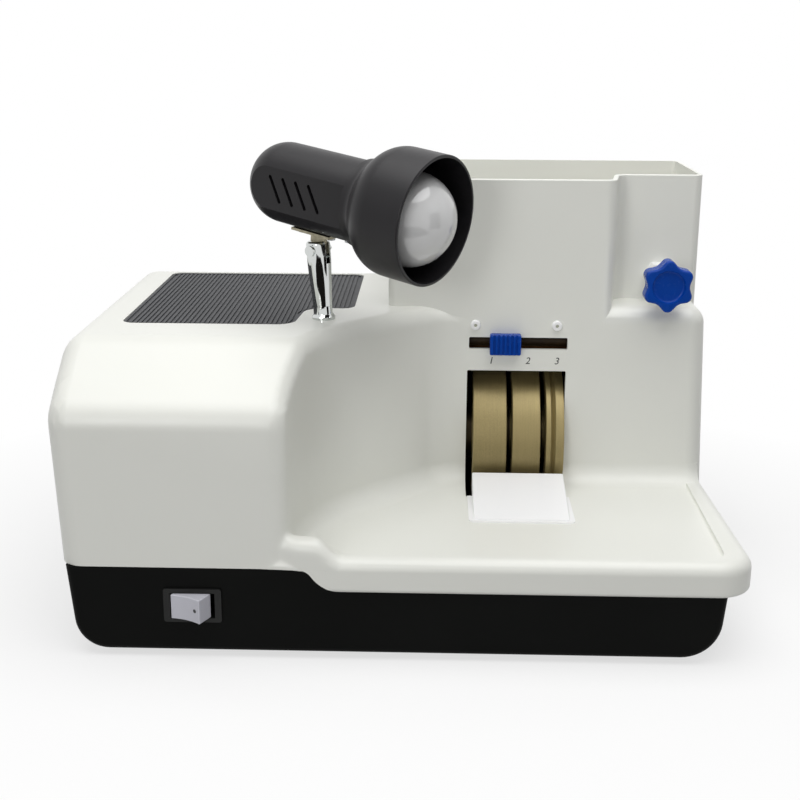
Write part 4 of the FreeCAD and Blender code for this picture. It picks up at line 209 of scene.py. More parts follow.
class MarkSettings(bpy.types.PropertyGroup):
    """Plain marks on the wall and the switch."""
    numeral_height: bpy.props.FloatProperty(
        name="Numeral Height", description="Height of the wheel numbers", unit="LENGTH",
        default=0.0048, min=0.001, max=0.02)
    ink: bpy.props.FloatVectorProperty(
        name="Ink", description="Colour of the printed marks", subtype="COLOR", size=3, min=0,
        max=1, default=(0.018, 0.018, 0.020))


# Shader maths

class Wire:
    """An output socket of a finish; arithmetic on it adds Math nodes."""

    def __init__(self, finish, socket):
        self.finish = finish
        self.socket = socket

    def paired(self, operation, first, second):
        node = self.finish.tree.nodes.new("ShaderNodeMath")
        node.operation = operation
        self.finish.feed(node.inputs[0], first)
        self.finish.feed(node.inputs[1], second)
        return Wire(self.finish, node.outputs[0])

    def __add__(self, other):
        return self.paired("ADD", self, other)

    def __radd__(self, other):
        return self.paired("ADD", other, self)

    def __sub__(self, other):
        return self.paired("SUBTRACT", self, other)

    def __rsub__(self, other):
        return self.paired("SUBTRACT", other, self)

    def __mul__(self, other):
        return self.paired("MULTIPLY", self, other)

    def __rmul__(self, other):
        return self.paired("MULTIPLY", other, self)


class Finish:
    """A material while it is built: its node tree and its one Principled shader."""

    def __init__(self, name, colour=(0.5, 0.5, 0.5), rough=0.5, metal=0.0, coat=0.0):
        self.material = bpy.data.materials.new(name)
        self.material.use_nodes = True
        self.tree = self.material.node_tree
        self.shader = self.tree.nodes["Principled BSDF"]
        self.colour = (*colour[:3], 1.0)
        self.set("Base Color", self.colour)
        self.set("Roughness", rough)
        self.set("Metallic", metal)
        self.set("Coat Weight", coat)

    def feed(self, socket, value):
        if isinstance(value, Wire):
            self.tree.links.new(value.socket, socket)
        else:
            socket.default_value = value

    def set(self, name, value):
        self.feed(self.shader.inputs[name], value)

    def node(self, kind, settings=None, output=0, **inputs):
        """Any other node: its settings first, then the values or wires of its sockets."""
        node = self.tree.nodes.new(kind)
        for name, value in (settings or {}).items():
            setattr(node, name, value)
        for name, value in inputs.items():
            self.feed(node.inputs[name.replace("_", " ")], value)
        return Wire(self, node.outputs[output])

    def place(self, stretch=(1, 1, 1), centre=(0, 0, 0)):
        """Object coordinates, moved to a centre and stretched."""
        where = self.node("ShaderNodeTexCoord", output=3)
        shifted = self.node("ShaderNodeVectorMath", {"operation": "SUBTRACT"}, Vector=where)
        shifted.socket.node.inputs[1].default_value = centre
        scaled = self.node("ShaderNodeVectorMath", {"operation": "MULTIPLY"}, Vector=shifted)
        scaled.socket.node.inputs[1].default_value = stretch
        return scaled

    def noise(self, scale, detail=2.0, stretch=(1, 1, 1)):
        return self.node("ShaderNodeTexNoise", Vector=self.place(stretch), Scale=scale,
                         Detail=detail)

    def ramp(self, factor, stops):
        """A ramp through (place, grey) stops."""
        node = self.tree.nodes.new("ShaderNodeValToRGB")
        elements = node.color_ramp.elements
        while len(elements) < len(stops):
            elements.new(0.5)
        for element, (place, grey) in zip(elements, stops):
            element.position = place
            element.color = (grey, grey, grey, 1)
        self.feed(node.inputs["Fac"], factor)
        return Wire(self, node.outputs["Color"])

    def tint(self, factor, other):
        """Mixes the base colour towards another."""
        node = self.tree.nodes.new("ShaderNodeMix")
        node.data_type = "RGBA"
        self.feed(node.inputs["Factor"], factor)
        node.inputs[6].default_value = self.colour
        node.inputs[7].default_value = (*other[:3], 1.0)
        mixed = Wire(self, node.outputs[2])
        self.set("Base Color", mixed)
        return mixed

    def bump(self, height, depth, strength=1.0):
        """Raises the surface by a height texture, depth in metres."""
        self.set("Normal", self.node("ShaderNodeBump", Height=height, Distance=depth,
                                     Strength=strength))


def smooth_step(share):
    share = min(1.0, max(0.0, share))
    return share * share * (3 - 2 * share)


def shade_of(colour, factor):
    return tuple(min(1.0, part * factor) for part in colour)


def ivory_moulding():
    """Pale moulded plastic with a faint ripple and slightly uneven gloss."""
    colour = bpy.context.scene.edger_finish.ivory
    finish = Finish("ivory_moulding", colour, rough=0.34)
    cloud = finish.noise(9, 3)
    finish.tint(finish.ramp(cloud, [(0.30, 0.0), (0.75, 0.55)]), shade_of(colour, 0.965))
    finish.set("Roughness", 0.30 + 0.10 * finish.noise(60, 2))
    finish.bump(finish.noise(420, 2), 0.00003, 0.35)
    finish.set("Specular IOR Level", 0.45)
    return finish.material


def black_moulding(name="black_moulding", shine=0.06):
    """Black plastic with a fine spark texture."""
    colour = bpy.context.scene.edger_finish.black
    finish = Finish(name, colour, rough=0.48)
    grain = finish.noise(2600, 1)
    finish.tint(finish.ramp(finish.noise(14, 3), [(0.35, 0), (0.8, 1)]), shade_of(colour, 1.5))
    finish.set("Roughness", 0.42 + 0.16 * finish.noise(90, 2))
    finish.bump(grain, 0.00006, 0.5)
    finish.set("Specular IOR Level", shine)
    return finish.material


def ribbed_rubber():
    colour = bpy.context.scene.edger_finish.mat
    finish = Finish("ribbed_rubber", colour, rough=0.62)
    finish.tint(finish.ramp(finish.noise(1800, 2), [(0.35, 0), (0.7, 1)]), shade_of(colour, 1.9))
    finish.set("Roughness", 0.52 + 0.2 * finish.noise(300, 2))
    finish.bump(finish.noise(2400, 1), 0.00005, 0.6)
    return finish.material


def soft_rubber():
    finish = Finish("soft_rubber", (0.022, 0.022, 0.022), rough=0.72)
    finish.tint(finish.noise(700, 3), (0.045, 0.045, 0.044))
    finish.bump(finish.noise(1500, 2), 0.00008, 0.6)
    return finish.material


def bright_chrome():
    finish = Finish("bright_chrome", (0.62, 0.64, 0.63), rough=0.05, metal=1.0)
    finish.set("Roughness", 0.03 + 0.04 * finish.noise(500, 2))
    finish.bump(finish.noise(350, 1), 0.00001, 0.2)
    return finish.material


def warm_steel():
    """Dull steel with a brownish cast."""
    finish = Finish("warm_steel", (0.34, 0.31, 0.23), rough=0.34, metal=1.0)
    finish.tint(finish.ramp(finish.noise(300, 3), [(0.35, 0), (0.7, 1)]), (0.24, 0.22, 0.16))
    finish.set("Roughness", 0.28 + 0.2 * finish.noise(420, 2))
    finish.bump(finish.noise(900, 2), 0.00002, 0.4)
    return finish.material


def zinc_plate():
    finish = Finish("zinc_plate", (0.52, 0.53, 0.54), rough=0.36, metal=1.0)
    finish.tint(finish.ramp(finish.noise(900, 3), [(0.3, 0), (0.7, 1)]), (0.40, 0.41, 0.43))
    finish.set("Roughness", 0.28 + 0.2 * finish.noise(260, 3))
    finish.bump(finish.noise(1600, 2), 0.00002, 0.4)
    return finish.material


def turned_steel():
    """Fine rings along the spindle's axis."""
    finish = Finish("turned_steel", (0.50, 0.50, 0.51), rough=0.28, metal=1.0)
    rings = finish.noise(60, 3, stretch=(70, 1, 1))
    finish.set("Roughness", 0.20 + 0.22 * rings)
    finish.bump(rings, 0.00002, 0.4)
    return finish.material


def cast_alloy():
    finish = Finish("cast_alloy", (0.46, 0.47, 0.48), rough=0.5, metal=0.9)
    finish.tint(finish.ramp(finish.noise(240, 4), [(0.35, 0), (0.7, 1)]), (0.36, 0.37, 0.38))
    finish.bump(finish.noise(1100, 3), 0.00008, 0.6)
    return finish.material


def stacked_sheets():
    """Edges of thin sheets, stacked along X."""
    finish = Finish("stacked_sheets", (0.16, 0.155, 0.15), rough=0.5, metal=0.8)
    edges = finish.node("ShaderNodeTexWave", {"wave_type": "BANDS", "bands_direction": "X"},
                        Vector=finish.place(), Scale=320, Distortion=0.2)
    finish.tint(edges, (0.10, 0.09, 0.085))
    finish.bump(edges, 0.0001, 0.7)
    return finish.material


def copper_wire():
    """Varnished strands, laid round the core."""
    finish = Finish("copper_wire", (0.42, 0.15, 0.05), rough=0.3, metal=0.85, coat=0.5)
    strands = finish.noise(240, 2, stretch=(5, 1, 1))
    finish.tint(finish.ramp(strands, [(0.4, 0), (0.6, 1)]), (0.22, 0.07, 0.025))
    finish.bump(strands, 0.0004, 0.9)
    return finish.material


def grey_paint():
    finish = Finish("grey_paint", (0.13, 0.14, 0.145), rough=0.4)
    finish.tint(finish.noise(30, 4), (0.16, 0.17, 0.175))
    finish.bump(finish.noise(700, 2), 0.00004, 0.5)
    return finish.material


def aluminium_can():
    finish = Finish("aluminium_can", (0.66, 0.67, 0.68), rough=0.3, metal=1.0)
    drawn = finish.noise(120, 3, stretch=(1, 0.04, 1))
    finish.set("Roughness", 0.22 + 0.2 * drawn)
    finish.bump(drawn, 0.00002, 0.4)
    return finish.material


def brass_fitting():
    finish = Finish("brass_fitting", (0.62, 0.44, 0.16), rough=0.26, metal=1.0)
    finish.tint(finish.ramp(finish.noise(160, 4), [(0.4, 0), (0.75, 1)]), (0.48, 0.32, 0.11))
    finish.set("Roughness", 0.2 + 0.2 * finish.noise(420, 2))
    finish.bump(finish.noise(900, 2), 0.00002, 0.4)
    return finish.material


def dark_plastic():
    finish = Finish("dark_plastic", (0.016, 0.014, 0.012), rough=0.5)
    finish.tint(finish.noise(60, 3), (0.024, 0.020, 0.016))
    finish.bump(finish.noise(1200, 2), 0.00005, 0.5)
    return finish.material


def brown_tube():
    """Dark brown tube with a dull surface."""
    finish = Finish("brown_tube", (0.020, 0.011, 0.005), rough=0.55)
    finish.tint(finish.ramp(finish.noise(120, 3), [(0.4, 0), (0.8, 1)]), (0.045, 0.026, 0.010))
    finish.bump(finish.noise(600, 2), 0.00003, 0.4)
    finish.set("Specular IOR Level", 0.2)
    return finish.material


def amber_sheet():
    """Smooth brown sheet, tinted lighter and warmer at random."""
    finish = Finish("amber_sheet", (0.060, 0.026, 0.009), rough=0.2, coat=0.3)
    finish.tint(finish.ramp(finish.noise(25, 3), [(0.4, 0), (0.8, 1)]), (0.12, 0.055, 0.018))
    finish.bump(finish.noise(200, 2), 0.00003, 0.4)
    return finish.material


def white_plastic():
    finish = Finish("white_plastic", (0.93, 0.93, 0.94), rough=0.3)
    finish.tint(finish.noise(40, 3), (0.90, 0.90, 0.90))
    finish.set("Roughness", 0.26 + 0.1 * finish.noise(120, 2))
    finish.bump(finish.noise(600, 2), 0.00002, 0.3)
    return finish.material


def blue_plastic():
    colour = bpy.context.scene.edger_finish.blue
    finish = Finish("blue_plastic", colour, rough=0.24)
    finish.tint(finish.ramp(finish.noise(70, 3), [(0.35, 0), (0.8, 1)]), shade_of(colour, 0.8))
    finish.set("Roughness", 0.2 + 0.12 * finish.noise(220, 2))
    finish.bump(finish.noise(500, 2), 0.00003, 0.3)
    finish.set("Specular IOR Level", 0.16)
    return finish.material


def clear_hose():
    finish = Finish("clear_hose", (0.62, 0.62, 0.56), rough=0.25)
    finish.set("Transmission Weight", 0.6)
    finish.bump(finish.noise(300, 2), 0.00004, 0.4)
    finish.tint(finish.noise(80, 2), (0.55, 0.55, 0.48))
    return finish.material


def lamp_black():
    """Satin black paint on turned sheet."""
    colour = bpy.context.scene.edger_finish.lamp
    finish = Finish("lamp_black", colour, rough=0.36)
    finish.tint(finish.ramp(finish.noise(35, 3), [(0.35, 0), (0.8, 1)]), shade_of(colour, 1.25))
    finish.set("Roughness", 0.33 + 0.1 * finish.noise(160, 2))
    finish.bump(finish.noise(1500, 2), 0.00003, 0.4)
    finish.set("Specular IOR Level", 0.28)
    return finish.material


def opal_glass():
    colour = bpy.context.scene.edger_finish.opal
    finish = Finish("opal_glass", colour, rough=0.2, coat=0.6)
    finish.tint(finish.ramp(finish.noise(12, 1), [(0.3, 0), (0.8, 1)]), shade_of(colour, 0.975))
    finish.set("Roughness", 0.10 + 0.05 * finish.noise(90, 1))
    finish.bump(finish.noise(120, 0), 0.000005, 0.1)
    return finish.material


def bonded_grit(name, grain, tone):
    """Metal bond full of grit: coarse or fine speckle over faint turning lines."""
    colour = shade_of(bpy.context.scene.edger_finish.grit, tone)
    finish = Finish(name, colour, rough=0.42, metal=0.5)
    speckle = finish.noise(grain, 3)
    lines = finish.noise(40, 2, stretch=(30, 1, 1))
    mixture = speckle * 0.75 + lines * 0.25
    finish.tint(finish.ramp(mixture, [(0.36, 0), (0.66, 1)]), shade_of(colour, 0.74))
    finish.set("Roughness", 0.38 + 0.16 * speckle)
    finish.bump(speckle, 0.00008, 0.5)
    return finish.material


def rocker_plastic():
    finish = Finish("rocker_plastic", (0.60, 0.60, 0.66), rough=0.38)
    finish.tint(finish.noise(50, 3), (0.57, 0.57, 0.63))
    finish.bump(finish.noise(900, 2), 0.00003, 0.4)
    return finish.material


# Darker olive for flat discs on the screw heads: painted shade of each screw's dimple
def dimple_shade():
    finish = Finish("dimple_shade", (0.50, 0.51, 0.41), rough=0.5)
    finish.tint(finish.noise(900, 2), (0.44, 0.45, 0.36))
    finish.bump(finish.noise(1500, 1), 0.00001, 0.3)
    return finish.material


def blackened_steel():
    """Dark brown oiled steel."""
    finish = Finish("blackened_steel", (0.075, 0.055, 0.030), rough=0.42, metal=0.9)
    rings = finish.noise(60, 3, stretch=(70, 1, 1))
    finish.tint(finish.ramp(rings, [(0.35, 0), (0.7, 1)]), (0.045, 0.034, 0.020))
    finish.set("Roughness", 0.36 + 0.2 * rings)
    finish.bump(rings, 0.00002, 0.4)
    return finish.material


def printed_ink():
    finish = Finish("printed_ink", bpy.context.scene.edger_marks.ink, rough=0.5)
    finish.tint(finish.noise(1500, 2), (0.03, 0.03, 0.032))
    finish.bump(finish.noise(2500, 1), 0.00001, 0.3)
    return finish.material


# Shared steps

def select_only(piece):
    bpy.ops.object.select_all(action="DESELECT")
    piece.select_set(True)
    bpy.context.view_layer.objects.active = piece


def dress(piece, material):
    """Gives the whole piece one material."""
    if not piece.material_slots:
        piece.data.materials.append(material)
    for slot in piece.material_slots:
        slot.material = material


def body_of(node):
    return frame["nodes"][node]["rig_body"]


def smooth_copy(node, material, degrees=30.0):
    """A merged, smooth-shaded copy that stands for a CAD node."""
    piece = bpy.data.objects.new(node + "_smooth", frame["nodes"][node].data.copy())
    bpy.context.scene.collection.objects.link(piece)
    select_only(piece)
    bpy.ops.mesh.customdata_custom_splitnormals_clear()
    bpy.ops.object.mode_set(mode="EDIT")
    bpy.ops.mesh.select_all(action="SELECT")
    bpy.ops.mesh.remove_doubles(threshold=0.000002)
    bpy.ops.object.mode_set(mode="OBJECT")
    bpy.ops.object.shade_smooth_by_angle(angle=math.radians(degrees))
    weight = piece.modifiers.new("face_weight", "WEIGHTED_NORMAL")
    weight.keep_sharp = True
    weight.weight = 100
    bpy.ops.object.modifier_apply(modifier=weight.name)
    dress(piece, material)
    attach(piece, body_of(node))
    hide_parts(node)
    return piece


def finish_nodes(material, *nodes):
    for node in nodes:
        smooth_copy(node, material)


def apply_modifier(piece, kind, **settings):
    select_only(piece)
    modifier = piece.modifiers.new("step", kind)
    for name, value in settings.items():
        setattr(modifier, name, value)
    bpy.ops.object.modifier_apply(modifier=modifier.name)


def drop(piece):
    select_only(piece)
    bpy.ops.object.delete()


def rest_at_origin(piece, name, degrees=40.0):
    """Applies the transforms, turns the normals out and shades the piece."""
    select_only(piece)
    bpy.ops.object.transform_apply(location=True, rotation=True, scale=True)
    bpy.ops.object.mode_set(mode="EDIT")
    bpy.ops.mesh.select_all(action="SELECT")
    bpy.ops.mesh.normals_make_consistent(inside=False)
    bpy.ops.object.mode_set(mode="OBJECT")
    bpy.ops.object.shade_smooth_by_angle(angle=math.radians(degrees))
    piece.name = name


def block_between(low, high):
    """A cube that fills the space between two corners."""
    low, high = Vector(low), Vector(high)
    bpy.ops.mesh.primitive_cube_add(size=1, location=(low + high) / 2)
    block = bpy.context.object
    block.scale = high - low
    bpy.ops.object.transform_apply(location=True, rotation=True, scale=True)
    return block


def turned(foot, stations, sides=96):
    """A turned form: a disc is raised and scaled through (height, radius) stations."""
    height, radius = stations[0]
    bpy.ops.object.select_all(action="DESELECT")
    bpy.ops.mesh.primitive_circle_add(vertices=sides, radius=radius, fill_type="NGON",
                                      location=foot + Vector((0, 0, height)))
    piece = bpy.context.object
    bpy.ops.object.mode_set(mode="EDIT")
    bpy.ops.mesh.select_all(action="SELECT")
    for (low, near), (high, far) in zip(stations, stations[1:]):
        bpy.ops.mesh.extrude_region_move(TRANSFORM_OT_translate={"value": (0, 0, high - low)})
        bpy.ops.transform.resize(value=(far / near, far / near, 1), center_override=foot)
    bpy.ops.object.mode_set(mode="OBJECT")
    return piece


class EDGER_OT_housing(bpy.types.Operator):
    """Finish the cover, the base tub, the tray mat and the feet"""
    bl_idname = "edger.housing"
    bl_label = "Housing"

    def execute(self, context):
        ivory = ivory_moulding()
        finish_nodes(ivory, "upper_cover")
        finish_nodes(black_moulding(), "base_tub", "drain_spigot")
        finish_nodes(ribbed_rubber(), "tray_mat")
        finish_nodes(soft_rubber(), "rubber_feet", "shaft_seal", "slinger")
        return {"FINISHED"}


# The block of the cover that becomes the table's end: how far it reaches past the swell
BLOCK_LEFT = 16 * MM
BLOCK_RIGHT = 12 * MM
BLOCK_FRONT = 5 * MM
BLOCK_BACK = 54 * MM
BLOCK_HEIGHT = 56 * MM
BLOCK_UNDER_RIM = 6.5 * MM
BLOCK_LAP = 1.5 * MM

# The lip's front leans back by 1 in 16 left of this place along X
LIP_LEAN_START = -44 * MM
LIP_LEAN = 16


class EDGER_OT_table_end(bpy.types.Operator):
    """Round the rim's left end into the motor box, over the step of the plain cover"""
    bl_idname = "edger.table_end"
    bl_label = "Table End"

    def execute(self, context):
        end = context.scene.edger_table_end
        cover = bpy.data.objects["upper_cover_smooth"]
        floor = end.rim_level - BLOCK_UNDER_RIM
        low = Vector((end.finish - BLOCK_LEFT, end.front - BLOCK_FRONT, floor))
        high = Vector((end.start + BLOCK_RIGHT, end.front + BLOCK_BACK, floor + BLOCK_HEIGHT))
        patch = self.cut_out(context, cover, low, high)
        sunk = 1.1 * MM
        swell = self.add_swell(end, floor - sunk)
        bpy.ops.object.select_all(action="DESELECT")
        swell.select_set(True)
        patch.select_set(True)
        context.view_layer.objects.active = patch
        bpy.ops.object.join()
        apply_modifier(patch, "REMESH", mode="VOXEL", voxel_size=end.grain,
                       use_smooth_shade=True)
        self.weigh(patch, low, high)
        apply_modifier(patch, "SMOOTH", factor=0.5, iterations=end.rounds,
                       vertex_group="melt")
        under_cover = 0.012 * MM
        apply_modifier(patch, "DISPLACE", strength=-under_cover, mid_level=0.0)
        patch.vertex_groups.clear()
        rest_at_origin(patch, "table_end", 80.0)
        patch.data.materials.clear()
        dress(patch, cover.material_slots[0].material)
        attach(patch, "housing")
        return {"FINISHED"}

    def cut_out(self, context, cover, low, high):
        """Takes a block out of the cover and returns it, a little larger than the gap."""
        patch = cover.copy()
        patch.data = cover.data.copy()
        patch.parent = None
        patch.matrix_world = Matrix.Identity(4)
        context.scene.collection.objects.link(patch)
        block = block_between(low, high)
        apply_modifier(patch, "BOOLEAN", operation="INTERSECT", object=block, solver="EXACT")
        drop(block)
        lap = Vector((BLOCK_LAP, BLOCK_LAP, BLOCK_LAP))
        block = block_between(low + lap, high - lap)
        apply_modifier(cover, "BOOLEAN", operation="DIFFERENCE", object=block, solver="EXACT")
        drop(block)
        return patch

    def add_swell(self, end, bottom):
        """A block drawn out along the rim in steps, then rounded at its front and back."""
        steps = 24
        stride = (end.finish - end.start) / steps
        front, depth, height = self.swell_at(end, end.start, bottom)
        swell = block_between((end.start, front, bottom),
                              (end.start - stride, front + depth, bottom + height))
        bpy.ops.object.mode_set(mode="EDIT")
        bpy.ops.mesh.select_all(action="DESELECT")
        bpy.ops.mesh.select_mode(type="FACE")
        bpy.ops.object.mode_set(mode="OBJECT")
        for face in swell.data.polygons:
            face.select = face.normal.x < -0.5
        bpy.ops.object.mode_set(mode="EDIT")
        for step in range(1, steps + 1):
            across = end.start + stride * step
            new_front, new_depth, new_height = self.swell_at(end, across, bottom)
            bpy.ops.mesh.extrude_region_move(TRANSFORM_OT_translate={
                "value": (stride, new_front - front, 0)})
            bpy.ops.transform.resize(value=(1, new_depth / depth, new_height / height),
                                     center_override=(across, new_front, bottom))
            front, depth, height = new_front, new_depth, new_height
        self.pick_edges(swell, end, bottom, at_back=False)
        bpy.ops.mesh.bevel(offset=end.front_round, segments=10, profile=0.5)
        self.pick_edges(swell, end, bottom, at_back=True)
        bpy.ops.mesh.bevel(offset_type="PERCENT", offset_pct=98, segments=10, profile=0.5)
        bpy.ops.object.mode_set(mode="OBJECT")
        return swell

    def swell_at(self, end, across, bottom):
        """Front, depth and height of the swell at a place along X."""
        ease_start = end.full - 7.5 * MM
        ease_length = 15 * MM
        set_back = 2.4 * MM
        climb = smooth_step((end.start - across) / (end.start - end.full))
        ease = smooth_step((ease_start - across) / ease_length)
        lean = max(0.0, LIP_LEAN_START - across) / LIP_LEAN
        front = end.front + lean + set_back * ease
        depth = end.front_round + end.back_round + end.rise * 0.8 * climb
        return front, depth, end.rim_level + end.rise * (climb + 0.05 * ease) - bottom

    def pick_edges(self, swell, end, bottom, at_back):
        """Selects the swell's long upper edges at its front or its back."""
        bpy.ops.object.mode_set(mode="OBJECT")
        mesh = swell.data
        for face in mesh.polygons:
            face.select = False
        for vertex in mesh.vertices:
            vertex.select = False
        for edge in mesh.edges:
            first, second = (mesh.vertices[i].co for i in edge.vertices)
            middle = (first + second) / 2
            front, depth, height = self.swell_at(end, middle.x, bottom)
            if at_back:
                placed = middle.y > front + depth - 1.5 * MM
            else:
                placed = middle.y < front + MM
            edge.select = (abs(first.x - second.x) > 0.5 * MM
                           and middle.z > bottom + height - MM and placed)
        bpy.ops.object.mode_set(mode="EDIT")
        bpy.ops.mesh.select_mode(type="EDGE")

    def weigh(self, patch, low, high):
        """Weights that fade out towards the faces of the block, so its edges stay."""
        group = patch.vertex_groups.new(name="melt")
        margin = 1.6 * MM
        fade = 4 * MM
        for vertex in patch.data.vertices:
            inside = min(min(vertex.co[i] - low[i], high[i] - vertex.co[i]) for i in range(3))
            weight = min(1.0, max(0.0, (inside - margin) / fade))
            if weight:
                group.add([vertex.index], weight, "REPLACE")


class EDGER_OT_post(bpy.types.Operator):
    """Turn the lamp's chromed post and its collar"""
    bl_idname = "edger.post"
    bl_label = "Lamp Post"

    def execute(self, context):
        post = context.scene.edger_post
        low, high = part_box("lamp_foot_nut")
        foot = Vector(((low.x + high.x) / 2, (low.y + high.y) / 2, post.foot_level))
        chrome = bright_chrome()
        edge = 0.4 * MM
        collar = turned(foot, [
            (-2 * MM, post.foot_radius), (1.6 * MM, post.foot_radius),
            (2.0 * MM, post.foot_radius - edge), (2.5 * MM, post.neck_radius + 1.5 * edge),
            (3.0 * MM, post.neck_radius + edge / 2), (3.6 * MM, post.neck_radius),
            (post.foot_height - edge / 4, post.neck_radius)])
        self.set_up(collar, "post_collar", post, foot, chrome, "lamp_foot")
        column = turned(foot, self.column_stations(post))
        slot = block_between(
            foot + Vector((-2 * post.head_radius, -post.slot_width / 2,
                           post.height - post.slot_depth)),
            foot + Vector((2 * post.head_radius, post.slot_width / 2, post.height + edge)))
        turn = Matrix.Translation(foot) @ Matrix.Rotation(post.heading, 4, "Z")
        slot.matrix_world = turn @ Matrix.Translation(-foot)
        apply_modifier(column, "BOOLEAN", operation="DIFFERENCE", object=slot, solver="EXACT")
        drop(slot)
        self.set_up(column, "post_column", post, foot, chrome, "lamp_post")
        finish_nodes(chrome, "pivot_screw")
        return {"FINISHED"}

    def column_stations(self, post):
        """Neck, long flare, straight head and rounded top."""
        flare_end = post.height * 0.75
        flare_steps = 12
        stations = []
        for step in range(flare_steps + 1):
            share = step / flare_steps
            swell = (post.head_radius - post.neck_radius) * (0.7 * share
                                                             + 0.3 * smooth_step(share))
            stations.append((post.foot_height + (flare_end - post.foot_height) * share,
                             post.neck_radius + swell))
        dome = post.head_radius * 0.3
        for degrees in range(0, 90, 10):
            angle = math.radians(degrees)
            stations.append((post.height - dome + dome * math.sin(angle),
                             post.head_radius - dome + dome * math.cos(angle)))
        return stations

    def set_up(self, piece, name, post, foot, material, node):
        """Leans the piece on its foot, finishes it and lets it stand for its node."""
        lean = Matrix.Rotation(-post.lean, 4, "Y")
        piece.matrix_world = (Matrix.Translation(foot) @ lean @ Matrix.Translation(-foot)
                              @ piece.matrix_world)
        rest_at_origin(piece, name)
        dress(piece, material)
        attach(piece, body_of(node))
        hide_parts(node)


class EDGER_OT_lamp(bpy.types.Operator):
    """Finish the lamp's bracket, barrel, shade and bulb"""
    bl_idname = "edger.lamp"
    bl_label = "Lamp"

    def execute(self, context):
        finish_nodes(warm_steel(), "lamp_bracket")
        finish_nodes(lamp_black(), "lamp_barrel", "lamp_shade")
        finish_nodes(opal_glass(), "bulb_glass")
        return {"FINISHED"}


class EDGER_OT_wheels(bpy.types.Operator):
    """Finish the three wheels and the rest of the spindle"""
    bl_idname = "edger.wheels"
    bl_label = "Wheels and Spindle"

    def execute(self, context):
        finish_nodes(bonded_grit("coarse_grit", 2400, 1.0), "wheel_rough")
        finish_nodes(bonded_grit("fine_grit", 3200, 1.04), "wheel_fine")
        finish_nodes(bonded_grit("finest_grit", 4200, 1.1), "wheel_bevel")
        finish_nodes(turned_steel(), "spindle_shaft", "spindle_nut", "bearing_inner_rings",
                     "bearing_outer_rings")
        finish_nodes(blackened_steel(), "inner_flange", "clamp_flange", "wheel_spacers")
        finish_nodes(stacked_sheets(), "rotor", "stator_core")
        return {"FINISHED"}


class EDGER_OT_water(bpy.types.Operator):
    """Finish the tap, the water rail, the slider, the splash guard and the lens rest"""
    bl_idname = "edger.water"
    bl_label = "Water and Wheel Guard"

    def execute(self, context):
        finish_nodes(blue_plastic(), "slider_cap", "tap_knob")
        finish_nodes(white_plastic(), "lens_rest", "guide_screws", "nozzle_carriage",
                     "terminal_block", "tap_gland_nut")
        finish_nodes(brass_fitting(), "tap_stem", "tap_body", "inlet_pins", "bulb_cap")
        finish_nodes(brown_tube(), "water_rail")
        finish_nodes(clear_hose(), "water_hose")
        finish_nodes(amber_sheet(), "splash_hood")
        finish_nodes(dark_plastic(), "wheel_chamber", "lamp_socket", "cooling_fan")
        return {"FINISHED"}


class EDGER_OT_motor(bpy.types.Operator):
    """Finish the motor, its cradle and its electrical parts"""
    bl_idname = "edger.motor"
    bl_label = "Motor and Electrical Parts"

    def execute(self, context):
        finish_nodes(grey_paint(), "motor_shell", "motor_cradle")
        finish_nodes(cast_alloy(), "motor_bell_rear", "motor_bell_front")
        finish_nodes(copper_wire(), "stator_windings")
        finish_nodes(aluminium_can(), "run_capacitor")
        finish_nodes(zinc_plate(), "motor_tie_rods", "cradle_bolts", "capacitor_clamp",
                     "feet_screws", "cover_screws", "lamp_foot_nut", "lamp_screws",
                     "guide_bracket")
        finish_nodes(black_moulding("black_switch", 0.3), "switch_bezel", "power_inlet")
        finish_nodes(rocker_plastic(), "switch_rocker")
        return {"FINISHED"}


class EDGER_OT_numerals(bpy.types.Operator):
    """Print the wheels' numbers between the slot and the window"""
    bl_idname = "edger.numerals"
    bl_label = "Wheel Numbers"

    def execute(self, context):
        marks = context.scene.edger_marks
        ink = printed_ink()
        screw_head = 2.2 * MM
        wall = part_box("guide_screws")[0].y + screw_head
        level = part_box("slider_cap")[0].z - 5.2 * MM
        print_depth = 0.03 * MM
        digit_share = 0.73
        for number, wheel in enumerate(("wheel_rough", "wheel_fine", "wheel_bevel"), 1):
            low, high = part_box(wheel)
            bpy.ops.object.select_all(action="DESELECT")
            bpy.ops.object.text_add(rotation=(math.radians(90), 0, 0),
                                    location=((low.x + high.x) / 2, wall - print_depth,
                                              level))
            numeral = context.object
            numeral.data.body = str(number)
            numeral.data.size = marks.numeral_height / digit_share
            numeral.data.align_x = "CENTER"
            numeral.data.align_y = "CENTER"
            numeral.data.extrude = print_depth
            numeral.data.shear = 0.2
            bpy.ops.object.convert(target="MESH")
            numeral = context.object
            bpy.ops.object.transform_apply(location=True, rotation=True, scale=True)
            numeral.name = f"numeral_{number}"
            dress(numeral, ink)
            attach(numeral, "housing")
        return {"FINISHED"}


